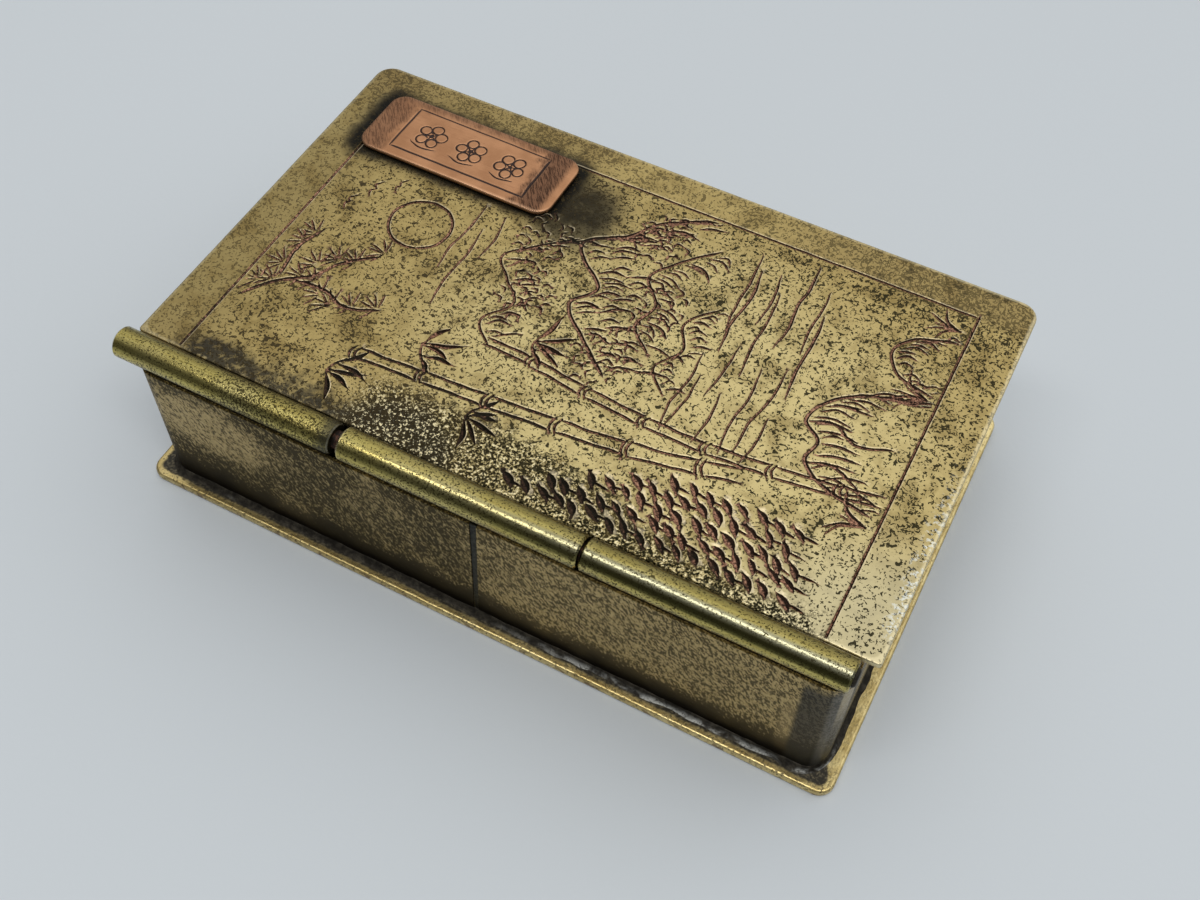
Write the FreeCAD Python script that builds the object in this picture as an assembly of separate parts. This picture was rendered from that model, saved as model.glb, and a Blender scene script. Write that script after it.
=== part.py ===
"""A brass ink box in the form of a book, hinged along one long side.

Units are millimetres. The origin is the centre of the base plate's underside. +X runs along
the hinge, the hinge side faces -Y, and +Z is up. The lid is shut.
"""

import FreeCAD
import Part
import math
import os

Vector = FreeCAD.Vector
ALONG_X = Vector(1, 0, 0)
UP = Vector(0, 0, 1)

# Base plate
BASE_LENGTH = 120.6
BASE_WIDTH = 77.0
BASE_THICKNESS = 1.5
BASE_CORNER_RADIUS = 2.5
BASE_EDGE_ROUND = 0.45

# Wall, one strip bent round four corners, whose ends meet on the hinge side
WALL_REVEAL = 2.5  # ledge of the base plate outside the wall
WALL_THICKNESS = 0.8
WALL_CORNER_RADIUS = 3.5
WALL_HEIGHT = 26.9
HINGE_WALL_BELOW_AXIS = 1.65  # the wall's top on the hinge side, under the barrel's axis
NOTCH_PAST_LID = 0.2  # how far the lower wall runs on under the lid
SEAM_X = 0.6
SEAM_LEAN = 0.9  # how far the seam's top lies to the right of its foot
SEAM_WIDTH_TOP = 1.2
SEAM_WIDTH_FOOT = 0.8
SEAM_RECESS = 0.15

# Solder fillet round the foot of the wall
FOOT_BEAD_WIDTH = 1.1
FOOT_BEAD_HEIGHT = 0.9
BEAD_LAND = 0.12  # thickness at which a fillet ends

# Lid
LID_END_INSET = 0.3  # from the base plate's ends to the lid's
BARREL_MARGIN = 7.7  # from the base plate's hinge side to the lid's hinge edge
LID_THICKNESS = 1.0
LID_CORNER_RADIUS = 3.0
LID_HINGE_CORNER_RADIUS = 0.6
LID_EDGE_ROUND = 0.25
LID_SEAT_GAP = 0.1

# Hinge barrel
KNUCKLE_RADIUS = 2.5
MIDDLE_KNUCKLE_EXTRA = 0.08  # how much fatter the lid's tube is than the fixed ones
LEFT_KNUCKLE_LENGTH = 38.5
MIDDLE_KNUCKLE_LENGTH = 38.85
KNUCKLE_CHAMFER = 0.3
LEFT_KNUCKLE_GAP = 1.35
RIGHT_KNUCKLE_GAP = 0.35
BARREL_OVERHANG = 1.1  # past the lid's left edge
BARREL_INSET = 0.35  # from the wall's right face to the barrel's end
LID_KNUCKLE_GAP = 0.04
SEAT_CLEARANCE = 0.12  # between the middle tube and the round seat filed into the wall
AXIS_RISE = 0.15  # above the lid's underside
PIN_RADIUS = 1.4
PIN_RUNNING_CLEARANCE = 0.05
PIN_FIXED_CLEARANCE = 0.02
PIN_PLUG_DEPTH = 1.5
PIN_PLUG_HEAD = 0.55  # how far a plug stands out of its tube
PIN_PLUG_ROUND = 0.44

# Solder that holds the tubes
KNUCKLE_SOLDER_DEPTH = 1.6  # down the wall's inner face
KNUCKLE_SOLDER_WIDTH = 2.5
KNUCKLE_SOLDER_FOOT = 0.36  # thickness at its lower end, on the tube
KNUCKLE_SOLDER_FOOT_ANGLE = -75  # degrees about the axis; 0 points to the back, 90 up
KNUCKLE_SOLDER_END_GAP = 1.0
LID_SOLDER_REACH = 1.4  # under the lid
LID_SOLDER_LOW_ANGLE = -45
LID_SOLDER_HIGH_ANGLE = 30

# Title plaque
PLAQUE_LENGTH = 36.3
PLAQUE_WIDTH = 12.9
PLAQUE_THICKNESS = 0.8
PLAQUE_CORNER_RADIUS = 2.0
PLAQUE_EDGE_ROUND = 0.3
PLAQUE_FROM_LEFT = 6.8
PLAQUE_FROM_BACK = 6.7
PLAQUE_TILT = 0.6  # degrees, its right end towards the hinge
PLAQUE_SOLDER_THICKNESS = 0.3
PLAQUE_SOLDER_INSET = 0.35

# Slate and the frame that holds it under the lid
FRAME_WALL_CLEARANCE = 1.0
FRAME_THICKNESS = 0.8
FRAME_DEPTH = 3.2
FRAME_FROM_HINGE_EDGE = 2.2
FRAME_BEAD = 0.6
SLATE_THICKNESS = 2.5
SLATE_SIDE_GAP = 0.2
SLATE_CHAMFER = 0.4
BEDDING_THICKNESS = 0.4

# Liner tray and the floss in it
TRAY_CLEARANCE = 0.4
TRAY_HEIGHT = 20.5
TRAY_THICKNESS = 0.5
TRAY_HEM_HEIGHT = 1.8
TRAY_HEM_THICKNESS = 1.1
FLOSS_CLEARANCE = 0.4
FLOSS_THICKNESS = 12.5
FLOSS_CORNER_RADIUS = 3.0
FLOSS_EDGE_ROUND = 2.7

# Places worked out from the sizes above
BASE_X = BASE_LENGTH / 2
BASE_Y = BASE_WIDTH / 2
WALL_X = BASE_X - WALL_REVEAL
WALL_Y = BASE_Y - WALL_REVEAL
INNER_X = WALL_X - WALL_THICKNESS
INNER_Y = WALL_Y - WALL_THICKNESS
INNER_RADIUS = WALL_CORNER_RADIUS - WALL_THICKNESS
WALL_TOP = BASE_THICKNESS + WALL_HEIGHT
LID_X = BASE_X - LID_END_INSET
LID_BACK = BASE_Y
LID_FRONT = BARREL_MARGIN - BASE_Y
LID_UNDER = WALL_TOP + LID_SEAT_GAP
LID_TOP = LID_UNDER + LID_THICKNESS
MIDDLE_KNUCKLE_RADIUS = KNUCKLE_RADIUS + MIDDLE_KNUCKLE_EXTRA
AXIS_Y = LID_FRONT - LID_KNUCKLE_GAP - MIDDLE_KNUCKLE_RADIUS
AXIS_Z = LID_UNDER + AXIS_RISE
SEAT_RADIUS = MIDDLE_KNUCKLE_RADIUS + SEAT_CLEARANCE
HINGE_WALL_TOP = AXIS_Z - HINGE_WALL_BELOW_AXIS
LEFT_START = -LID_X - BARREL_OVERHANG
LEFT_END = LEFT_START + LEFT_KNUCKLE_LENGTH
MIDDLE_START = LEFT_END + LEFT_KNUCKLE_GAP
MIDDLE_END = MIDDLE_START + MIDDLE_KNUCKLE_LENGTH
RIGHT_START = MIDDLE_END + RIGHT_KNUCKLE_GAP
RIGHT_END = WALL_X - BARREL_INSET
NOTCH_END = LID_FRONT + NOTCH_PAST_LID
FRAME_X = INNER_X - FRAME_WALL_CLEARANCE
FRAME_BACK = INNER_Y - FRAME_WALL_CLEARANCE
FRAME_FRONT = LID_FRONT + FRAME_FROM_HINGE_EDGE
FRAME_RADIUS = INNER_RADIUS - FRAME_WALL_CLEARANCE
TRAY_X = INNER_X - TRAY_CLEARANCE
TRAY_Y = INNER_Y - TRAY_CLEARANCE
TRAY_RADIUS = INNER_RADIUS - TRAY_CLEARANCE
TOLERANCE = 1e-6


def outline(low_x, low_y, high_x, high_y, hinge_radius, back_radius, z=0.0):
    """A rectangle's wire with rounded corners: one radius on the hinge side, one at the back."""
    corners = [
        (low_x, low_y, 1, 1, hinge_radius),
        (high_x, low_y, -1, 1, hinge_radius),
        (high_x, high_y, -1, -1, back_radius),
        (low_x, high_y, 1, -1, back_radius),
    ]
    arcs = []
    for index, (x, y, inward_x, inward_y, radius) in enumerate(corners):
        centre = Vector(x + inward_x * radius, y + inward_y * radius, z)
        start = math.pi + index * math.pi / 2
        points = [
            centre + Vector(math.cos(angle), math.sin(angle), 0) * radius
            for angle in (start, start + math.pi / 4, start + math.pi / 2)
        ]
        arcs.append(points)
    edges = []
    for index, points in enumerate(arcs):
        edges.append(Part.Arc(*points).toShape())
        edges.append(Part.LineSegment(points[2], arcs[(index + 1) % 4][0]).toShape())
    return Part.Wire(edges)


def block(low_x, low_y, high_x, high_y, low_z, height, hinge_radius, back_radius=None):
    """A plate with that outline, standing on low_z."""
    if back_radius is None:
        back_radius = hinge_radius
    wire = outline(low_x, low_y, high_x, high_y, hinge_radius, back_radius, low_z)
    return Part.Face(wire).extrude(UP * height)


def centred_block(half_x, half_y, low_z, height, radius):
    return block(-half_x, -half_y, half_x, half_y, low_z, height, radius)


def level_edges(shape, z):
    """Every edge of the shape that lies wholly at height z."""
    return [e for e in shape.Edges if all(abs(v.Z - z) < TOLERANCE for v in e.Vertexes)]


def round_level_edges(shape, z, radius):
    return shape.makeFillet(radius, level_edges(shape, z))


def rod(start, end, radius):
    """A cylinder on the hinge axis, from x = start to x = end."""
    return Part.makeCylinder(radius, end - start, Vector(start, AXIS_Y, AXIS_Z), ALONG_X)


def prism(points, start, end):
    """A solid with that outline in Y and Z, from x = start to x = end."""
    corners = [Vector(start, y, z) for y, z in points]
    face = Part.Face(Part.makePolygon(corners + corners[:1]))
    return face.extrude(ALONG_X * (end - start))


def axis_point(radius, degrees):
    """(y, z) of a point about the hinge axis; 0 degrees points to the back, 90 up."""
    angle = math.radians(degrees)
    return AXIS_Y + radius * math.cos(angle), AXIS_Z + radius * math.sin(angle)


# Case


def base_plate():
    plate = centred_block(BASE_X, BASE_Y, 0, BASE_THICKNESS, BASE_CORNER_RADIUS)
    plate = round_level_edges(plate, BASE_THICKNESS, BASE_EDGE_ROUND)
    return round_level_edges(plate, 0, BASE_EDGE_ROUND)


def seam_wedge(front, back):
    """The tapering gap between the strip's two ends, from y = front to y = back."""
    foot, top = SEAM_WIDTH_FOOT / 2, SEAM_WIDTH_TOP / 2
    top_x = SEAM_X + SEAM_LEAN
    corners = [
        Vector(SEAM_X - foot, front, BASE_THICKNESS),
        Vector(SEAM_X + foot, front, BASE_THICKNESS),
        Vector(top_x + top, front, HINGE_WALL_TOP),
        Vector(top_x - top, front, HINGE_WALL_TOP),
    ]
    face = Part.Face(Part.makePolygon(corners + corners[:1]))
    return face.extrude(Vector(0, back - front, 0))


def wall_band():
    band = centred_block(WALL_X, WALL_Y, BASE_THICKNESS, WALL_HEIGHT, WALL_CORNER_RADIUS)
    band = band.cut(centred_block(INNER_X, INNER_Y, BASE_THICKNESS, WALL_HEIGHT, INNER_RADIUS))
    notch_corner = Vector(-WALL_X, -WALL_Y, HINGE_WALL_TOP)
    notch = Part.makeBox(
        2 * WALL_X,
        NOTCH_END + WALL_Y,
        WALL_TOP - HINGE_WALL_TOP,
        notch_corner,
    )
    seat = rod(-WALL_X, WALL_X, SEAT_RADIUS)
    return band.cut(notch).cut(seat).cut(seam_wedge(-WALL_Y, -INNER_Y))


def wall_seam_solder():
    seat = rod(-WALL_X, WALL_X, SEAT_RADIUS)
    return seam_wedge(-WALL_Y + SEAM_RECESS, -INNER_Y).cut(seat)


def fillet_ring(low, high, wide_z, narrow_z, width, radii):
    """A ring of solder round the outside of an outline, wide at wide_z and thin at narrow_z."""
    wires = []
    for z, grow in ((wide_z, width), (narrow_z, BEAD_LAND)):
        wires.append(
            outline(
                low[0] - grow,
                low[1] - grow,
                high[0] + grow,
                high[1] + grow,
                radii[0] + grow,
                radii[1] + grow,
                z,
            )
        )
    ring = Part.makeLoft(wires, True, True)
    bottom, top = sorted((wide_z, narrow_z))
    return ring.cut(block(*low, *high, bottom, top - bottom, *radii))


def base_solder_bead():
    return fillet_ring(
        (-WALL_X, -WALL_Y),
        (WALL_X, WALL_Y),
        BASE_THICKNESS,
        BASE_THICKNESS + FOOT_BEAD_HEIGHT,
        FOOT_BEAD_WIDTH,
        (WALL_CORNER_RADIUS, WALL_CORNER_RADIUS),
    )


# Hinge


def knuckle(start, end, radius, bore_clearance):
    tube = rod(start, end, radius)
    rims = [edge for edge in tube.Edges if edge.isClosed()]
    tube = tube.makeChamfer(KNUCKLE_CHAMFER, rims)
    return tube.cut(rod(start, end, PIN_RADIUS + bore_clearance))


def left_knuckle():
    return knuckle(LEFT_START, LEFT_END, KNUCKLE_RADIUS, PIN_FIXED_CLEARANCE)


def right_knuckle():
    return knuckle(RIGHT_START, RIGHT_END, KNUCKLE_RADIUS, PIN_FIXED_CLEARANCE)


def middle_knuckle():
    return knuckle(MIDDLE_START, MIDDLE_END, MIDDLE_KNUCKLE_RADIUS, PIN_RUNNING_CLEARANCE)


def hinge_pin():
    return rod(LEFT_START + PIN_PLUG_DEPTH, RIGHT_END - PIN_PLUG_DEPTH, PIN_RADIUS)


def pin_end_solder():
    """A round-headed plug in each end of the barrel, against the end of the pin."""
    plugs = []
    for mouth, outward in ((LEFT_START, -1), (RIGHT_END, 1)):
        head_x = mouth + outward * PIN_PLUG_HEAD
        plug = rod(*sorted((mouth - outward * PIN_PLUG_DEPTH, head_x)), PIN_RADIUS)
        tip = [edge for edge in plug.Edges if abs(edge.BoundBox.Center.x - head_x) < TOLERANCE]
        plugs.append(plug.makeFillet(PIN_PLUG_ROUND, tip))
    return Part.makeCompound(plugs)


def fixed_knuckle_solder(start, end):
    """Solder between a fixed tube and its seat, and in the angle at the wall's inner face."""
    face_y = -INNER_Y
    inside = KNUCKLE_RADIUS / 2
    points = [
        (face_y, HINGE_WALL_TOP - KNUCKLE_SOLDER_DEPTH),
        (face_y, AXIS_Z - inside),
        axis_point(inside, -90),
        (face_y + KNUCKLE_SOLDER_WIDTH, AXIS_Z - inside),
        axis_point(KNUCKLE_RADIUS + KNUCKLE_SOLDER_FOOT, KNUCKLE_SOLDER_FOOT_ANGLE),
    ]
    seat_corner = Vector(start, -WALL_Y, AXIS_Z - SEAT_RADIUS)
    seat_room = Part.makeBox(
        end - start,
        WALL_THICKNESS,
        SEAT_RADIUS - HINGE_WALL_BELOW_AXIS,
        seat_corner,
    )
    seat = rod(start, end, SEAT_RADIUS).common(seat_room)
    solder = prism(points, start, end).fuse(seat)
    return solder.cut(rod(start, end, KNUCKLE_RADIUS)).removeSplitter()


def left_knuckle_solder():
    return fixed_knuckle_solder(WALL_CORNER_RADIUS - INNER_X, LEFT_END - KNUCKLE_SOLDER_END_GAP)


def right_knuckle_solder():
    return fixed_knuckle_solder(RIGHT_START + KNUCKLE_SOLDER_END_GAP, INNER_X - WALL_CORNER_RADIUS)


def lid_knuckle_solder():
    """Solder that fills the groove between the middle tube and the lid's edge, above and below."""
    inside = MIDDLE_KNUCKLE_RADIUS - BEAD_LAND
    points = [
        axis_point(inside / 2, 0),
        axis_point(inside, LID_SOLDER_LOW_ANGLE),
        (LID_FRONT + LID_SOLDER_REACH, LID_UNDER),
        (LID_FRONT, LID_UNDER),
        (LID_FRONT, LID_TOP - LID_EDGE_ROUND),
        axis_point(inside, LID_SOLDER_HIGH_ANGLE),
    ]
    start = MIDDLE_START + KNUCKLE_SOLDER_END_GAP
    end = MIDDLE_END - KNUCKLE_SOLDER_END_GAP
    return prism(points, start, end).cut(rod(start, end, MIDDLE_KNUCKLE_RADIUS))


# Lid


def lid_plate():
    plate = block(
        -LID_X,
        LID_FRONT,
        LID_X,
        LID_BACK,
        LID_UNDER,
        LID_THICKNESS,
        LID_HINGE_CORNER_RADIUS,
        LID_CORNER_RADIUS,
    )
    return round_level_edges(plate, LID_TOP, LID_EDGE_ROUND)


def plaque_block(inset, low_z, height):
    half_x = PLAQUE_LENGTH / 2
    half_y = PLAQUE_WIDTH / 2
    radius = PLAQUE_CORNER_RADIUS
    plate = centred_block(half_x - inset, half_y - inset, low_z, height, radius - inset)
    centre = Vector(PLAQUE_FROM_LEFT + half_x - LID_X, LID_BACK - PLAQUE_FROM_BACK - half_y, 0)
    plate.rotate(Vector(), UP, -PLAQUE_TILT)
    plate.translate(centre)
    return plate


def plaque_solder():
    return plaque_block(PLAQUE_SOLDER_INSET, LID_TOP, PLAQUE_SOLDER_THICKNESS)


def title_plaque():
    low_z = LID_TOP + PLAQUE_SOLDER_THICKNESS
    plaque = plaque_block(0, low_z, PLAQUE_THICKNESS)
    return round_level_edges(plaque, low_z + PLAQUE_THICKNESS, PLAQUE_EDGE_ROUND)


def framed_block(inset, depth_from, depth_to):
    """A block under the lid, inset from the slate frame's outside, between two depths."""
    radius = max(FRAME_RADIUS - inset, BEAD_LAND)
    return block(
        -FRAME_X + inset,
        FRAME_FRONT + inset,
        FRAME_X - inset,
        FRAME_BACK - inset,
        LID_UNDER - depth_to,
        depth_to - depth_from,
        radius,
    )


def slate_frame():
    return framed_block(0, 0, FRAME_DEPTH).cut(framed_block(FRAME_THICKNESS, 0, FRAME_DEPTH))


def slate_frame_solder():
    return fillet_ring(
        (-FRAME_X, FRAME_FRONT),
        (FRAME_X, FRAME_BACK),
        LID_UNDER,
        LID_UNDER - FRAME_BEAD,
        FRAME_BEAD,
        (FRAME_RADIUS, FRAME_RADIUS),
    )


def slate_bedding():
    return framed_block(FRAME_THICKNESS, 0, BEDDING_THICKNESS)


def slate_plate():
    under = BEDDING_THICKNESS + SLATE_THICKNESS
    slate = framed_block(FRAME_THICKNESS + SLATE_SIDE_GAP, BEDDING_THICKNESS, under)
    return slate.makeChamfer(SLATE_CHAMFER, level_edges(slate, LID_UNDER - under))


# Inside the case


def ink_tray():
    top = BASE_THICKNESS + TRAY_HEIGHT
    floor = BASE_THICKNESS + TRAY_THICKNESS
    hem_z = top - TRAY_HEM_HEIGHT
    tray = centred_block(TRAY_X, TRAY_Y, BASE_THICKNESS, TRAY_HEIGHT, TRAY_RADIUS)
    for inset, low_z, high_z in (
        (TRAY_THICKNESS, floor, hem_z),
        (TRAY_HEM_THICKNESS, hem_z, top),
    ):
        hollow = centred_block(
            TRAY_X - inset,
            TRAY_Y - inset,
            low_z,
            high_z - low_z,
            TRAY_RADIUS - inset,
        )
        tray = tray.cut(hollow)
    return tray


def ink_floss():
    inset = TRAY_THICKNESS + FLOSS_CLEARANCE
    low_z = BASE_THICKNESS + inset
    half_x, half_y = TRAY_X - inset, TRAY_Y - inset
    pad = centred_block(half_x, half_y, low_z, FLOSS_THICKNESS, FLOSS_CORNER_RADIUS)
    return round_level_edges(pad, low_z + FLOSS_THICKNESS, FLOSS_EDGE_ROUND)


PARTS = [
    base_plate,
    wall_band,
    wall_seam_solder,
    base_solder_bead,
    left_knuckle,
    right_knuckle,
    middle_knuckle,
    hinge_pin,
    pin_end_solder,
    left_knuckle_solder,
    right_knuckle_solder,
    lid_knuckle_solder,
    lid_plate,
    plaque_solder,
    title_plaque,
    slate_frame,
    slate_frame_solder,
    slate_bedding,
    slate_plate,
    ink_tray,
    ink_floss,
]


def main():
    os.makedirs("parts", exist_ok=True)
    for part in PARTS:
        part().exportStep("parts/" + part.__name__ + ".step")


main()
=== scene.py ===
"""The looks of a hinged brass ink box in the form of a book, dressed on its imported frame.

Lengths are millimetres in the frame's own axes unless a name says otherwise, and MM turns them
into Blender's metres. +X runs along the hinge, the hinge side faces -Y, and +Z is up.
"""

import bpy
import math
import random
import numpy as np
from mathutils import Matrix, Vector, noise
from mathutils.geometry import delaunay_2d_cdt


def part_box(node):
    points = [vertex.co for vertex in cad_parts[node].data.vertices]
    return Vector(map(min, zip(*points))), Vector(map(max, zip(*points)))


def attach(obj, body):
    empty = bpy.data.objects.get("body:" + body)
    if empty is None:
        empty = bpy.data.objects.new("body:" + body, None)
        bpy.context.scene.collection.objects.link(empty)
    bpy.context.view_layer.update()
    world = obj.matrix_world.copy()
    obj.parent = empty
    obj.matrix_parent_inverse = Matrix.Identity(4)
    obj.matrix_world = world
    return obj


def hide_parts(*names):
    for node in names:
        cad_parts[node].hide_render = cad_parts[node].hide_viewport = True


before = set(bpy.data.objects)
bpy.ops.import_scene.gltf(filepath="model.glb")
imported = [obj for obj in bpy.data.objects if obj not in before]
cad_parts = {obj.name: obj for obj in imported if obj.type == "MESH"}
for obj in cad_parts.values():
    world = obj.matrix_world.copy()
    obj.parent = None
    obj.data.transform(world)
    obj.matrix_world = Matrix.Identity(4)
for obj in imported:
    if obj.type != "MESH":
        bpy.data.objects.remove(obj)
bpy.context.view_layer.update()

MM = 0.001

# Engraving on the lid and the plaque
MAP_CELL = 0.06  # grid of the map of cut depths
STROKE_STEP = 0.35  # between the mesh points along a stroke
RIM_CREST = 0.07  # from a groove's side out to the crest of its burr
RIM_WIDTH = 0.08
# The side found with SIDE_STEP picks where the lid paints a highlight and shade on its grooves.
SIDE_STEP = np.array([0.12, 0.24])  # towards the back; tells a groove's two sides apart
PLAIN_STEP = 0.75  # between the mesh points where nothing is cut
CLOSEST = 0.09  # mesh points nearer than this are merged
FINE = 0.4  # widths of strokes
LINE = 0.52
BOLD = 0.64
LINE_DEPTH = 0.19
LEAF_DEPTH = 0.32
BURR_HEIGHT = 0.055
BURR_FADE = 0.03  # there is no burr where the cut is this deep
WOBBLE = 0.16  # how far the hand strays from a stroke's line
STEADY = 0.05  # the same for a ruled line
CULM_STEP = 0.5

# Lid
BORDER_TOP = 7.5  # the border's distance from the lid's left end, which is the cover's top
BORDER_BOTTOM = 112.0
BORDER_SIDE = 6.55
BORDER_GAP = 0.8  # between the border and the picture
LID_CORNERS = (0.6, 0.6, 3.0, 3.0)  # from the front left, anticlockwise
LID_EDGE_ROUND = 0.28
UNDER_ROUND = 0.1
LID_RIM_STEP = 0.55
LID_SAG = 0.07
LID_DENT = 0.035
LID_TOP_DEPTH = 0.6  # no cut in the top reaches deeper

# Plaque
PLAQUE_TILT = math.radians(-0.6)
PLAQUE_LENGTH = 36.3
PLAQUE_WIDTH = 13.8
PLAQUE_CORNERS = (2.7,) * 4
PLAQUE_EDGE_ROUND = 0.34
PLAQUE_RIM_STEP = 0.4
PLAQUE_CROWN = 0.12
PLAQUE_WAVE = 0.03
PLAQUE_BURR_HEIGHT = 0.02
PLAQUE_TOP_DEPTH = 0.5

# Solder round the foot of the wall
BEAD_STEP = 0.5
BEAD_ROWS = 7
BEAD_HEIGHT = 0.72
BEAD_WIDTH = 0.95
BEAD_SUNK = 0.06  # into the base plate
BEAD_BEHIND = 0.2  # into the wall
WALL_CORNERS = (3.5,) * 4

# Pad of silk floss
PAD_VOXEL = 3.6
PAD_SMOOTHING = 4
PAD_SHRINK = 1.6
PAD_PRESSURE = 4.0
PAD_FRAMES = 20
PAD_MOVE_CAP = 1.8
PAD_PRESSED = 1.2

# Colours that several coats share
PALE_BRASS = (0.64, 0.52, 0.24)
GOLD_BRASS = (0.47, 0.355, 0.14)
BROWN_BRASS = (0.25, 0.175, 0.06)
CREAM_BRASS = (0.92, 0.80, 0.50)
YELLOW_BRASS = (0.56, 0.47, 0.15)

# Studio
CAMERA_PLACE = (63.0, -121.42, 193.33)
CAMERA_RIGHT = (0.8864, 0.4626, 0.0171)
CAMERA_UP = (-0.3868, 0.7199, 0.5763)
CAMERA_BACK = (0.2543, -0.5174, 0.8171)
CAMERA_LENS = 42.07
CAMERA_SENSOR = 36.0
CAMERA_NEAR = 0.01  # metres, as are the lamp's and the floor's lengths
LAMP_PLACE = (0.1, -0.40, 1.25)
LAMP_LENGTH = 1.5
LAMP_WIDTH = 0.28
LAMP_POWER = 5.2
LAMP_COLOUR = (1.0, 0.99, 0.97)
SKY_AXIS = (0.12, 0.45, 0.85)  # the sky is bright that way and dims away from it
SKY_START = 0.15
SKY_DIM = (0.17, 0.178, 0.185)
SKY_BRIGHT = (1.06, 1.075, 1.085)
SKY_SEEN = (0.62, 0.65, 0.67)
FLOOR_HALF = 2.5


def box_mm(node):
    """A CAD node's lowest and highest corners at rest."""
    low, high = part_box(node)
    return np.array(low) / MM, np.array(high) / MM


# Shapes


def curve_through(points, step):
    """Points about step apart on the smooth curve through the given ones."""
    knots = np.array(points, float)
    if len(knots) > 2:
        padded = np.vstack([2 * knots[0] - knots[1], knots, 2 * knots[-1] - knots[-2]])
        t = np.linspace(0, 1, 12, endpoint=False)[:, None]
        spans = []
        for a, b, c, d in zip(padded, padded[1:], padded[2:], padded[3:]):
            bend = (2 * a - 5 * b + 4 * c - d) * t**2 + (3 * b - a - 3 * c + d) * t**3
            spans.append(b + ((c - a) * t + bend) / 2)
        knots = np.vstack(spans + [knots[-1:]])
    lengths = np.hypot(*(knots[1:] - knots[:-1]).T)
    along = np.concatenate([[0], np.cumsum(lengths)])
    count = max(2, int(round(along[-1] / step)) + 1)
    places = np.linspace(0, along[-1], count)
    return np.column_stack([np.interp(places, along, knots[:, i]) for i in (0, 1)])


def sideways(line):
    """Unit normals, to the left of each point of a line."""
    ahead = np.gradient(line, axis=0)
    ahead /= np.hypot(*ahead.T)[:, None] + 1e-9
    return np.column_stack([-ahead[:, 1], ahead[:, 0]])


def heading(angle):
    """The unit vector at an angle in radians."""
    return np.array([math.cos(angle), math.sin(angle)])


def crossed(vector):
    """A flat vector turned a quarter to the left."""
    return np.array([-vector[1], vector[0]])


def rounded_outline(low, high, radii, step):
    """Points and outward normals round a rectangle, anticlockwise from its low corner.

    radii are the corner radii in that order: front left, front right, back right, back left.
    """
    arcs = []
    for index, radius in enumerate(radii):
        inward = np.array([1 if index in (0, 3) else -1, 1 if index < 2 else -1])
        centre = np.where(inward > 0, low, high) + inward * radius
        turns = max(3, int(radius * math.pi / 2 / step))
        out = [heading(math.pi * (1 + index / 2 + turn / turns / 2)) for turn in range(turns + 1)]
        arcs.append(([centre + radius * normal for normal in out], out))
    points, normals = [], []
    for (arc, out), (following, _) in zip(arcs, arcs[1:] + arcs[:1]):
        run = following[0] - arc[-1]
        count = max(1, int(np.abs(run).max() / step))
        points += arc + [arc[-1] + run * part / count for part in range(1, count)]
        normals += out + [out[-1]] * (count - 1)
    return np.array(points), np.array(normals)


def bumpy(points, scale, shift=0.0):
    """Smooth noise from -1 to 1 at flat points, whose humps are about 1 / scale apart."""
    return np.array([noise.noise(Vector((x * scale, y * scale, shift))) for x, y in points])


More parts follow.
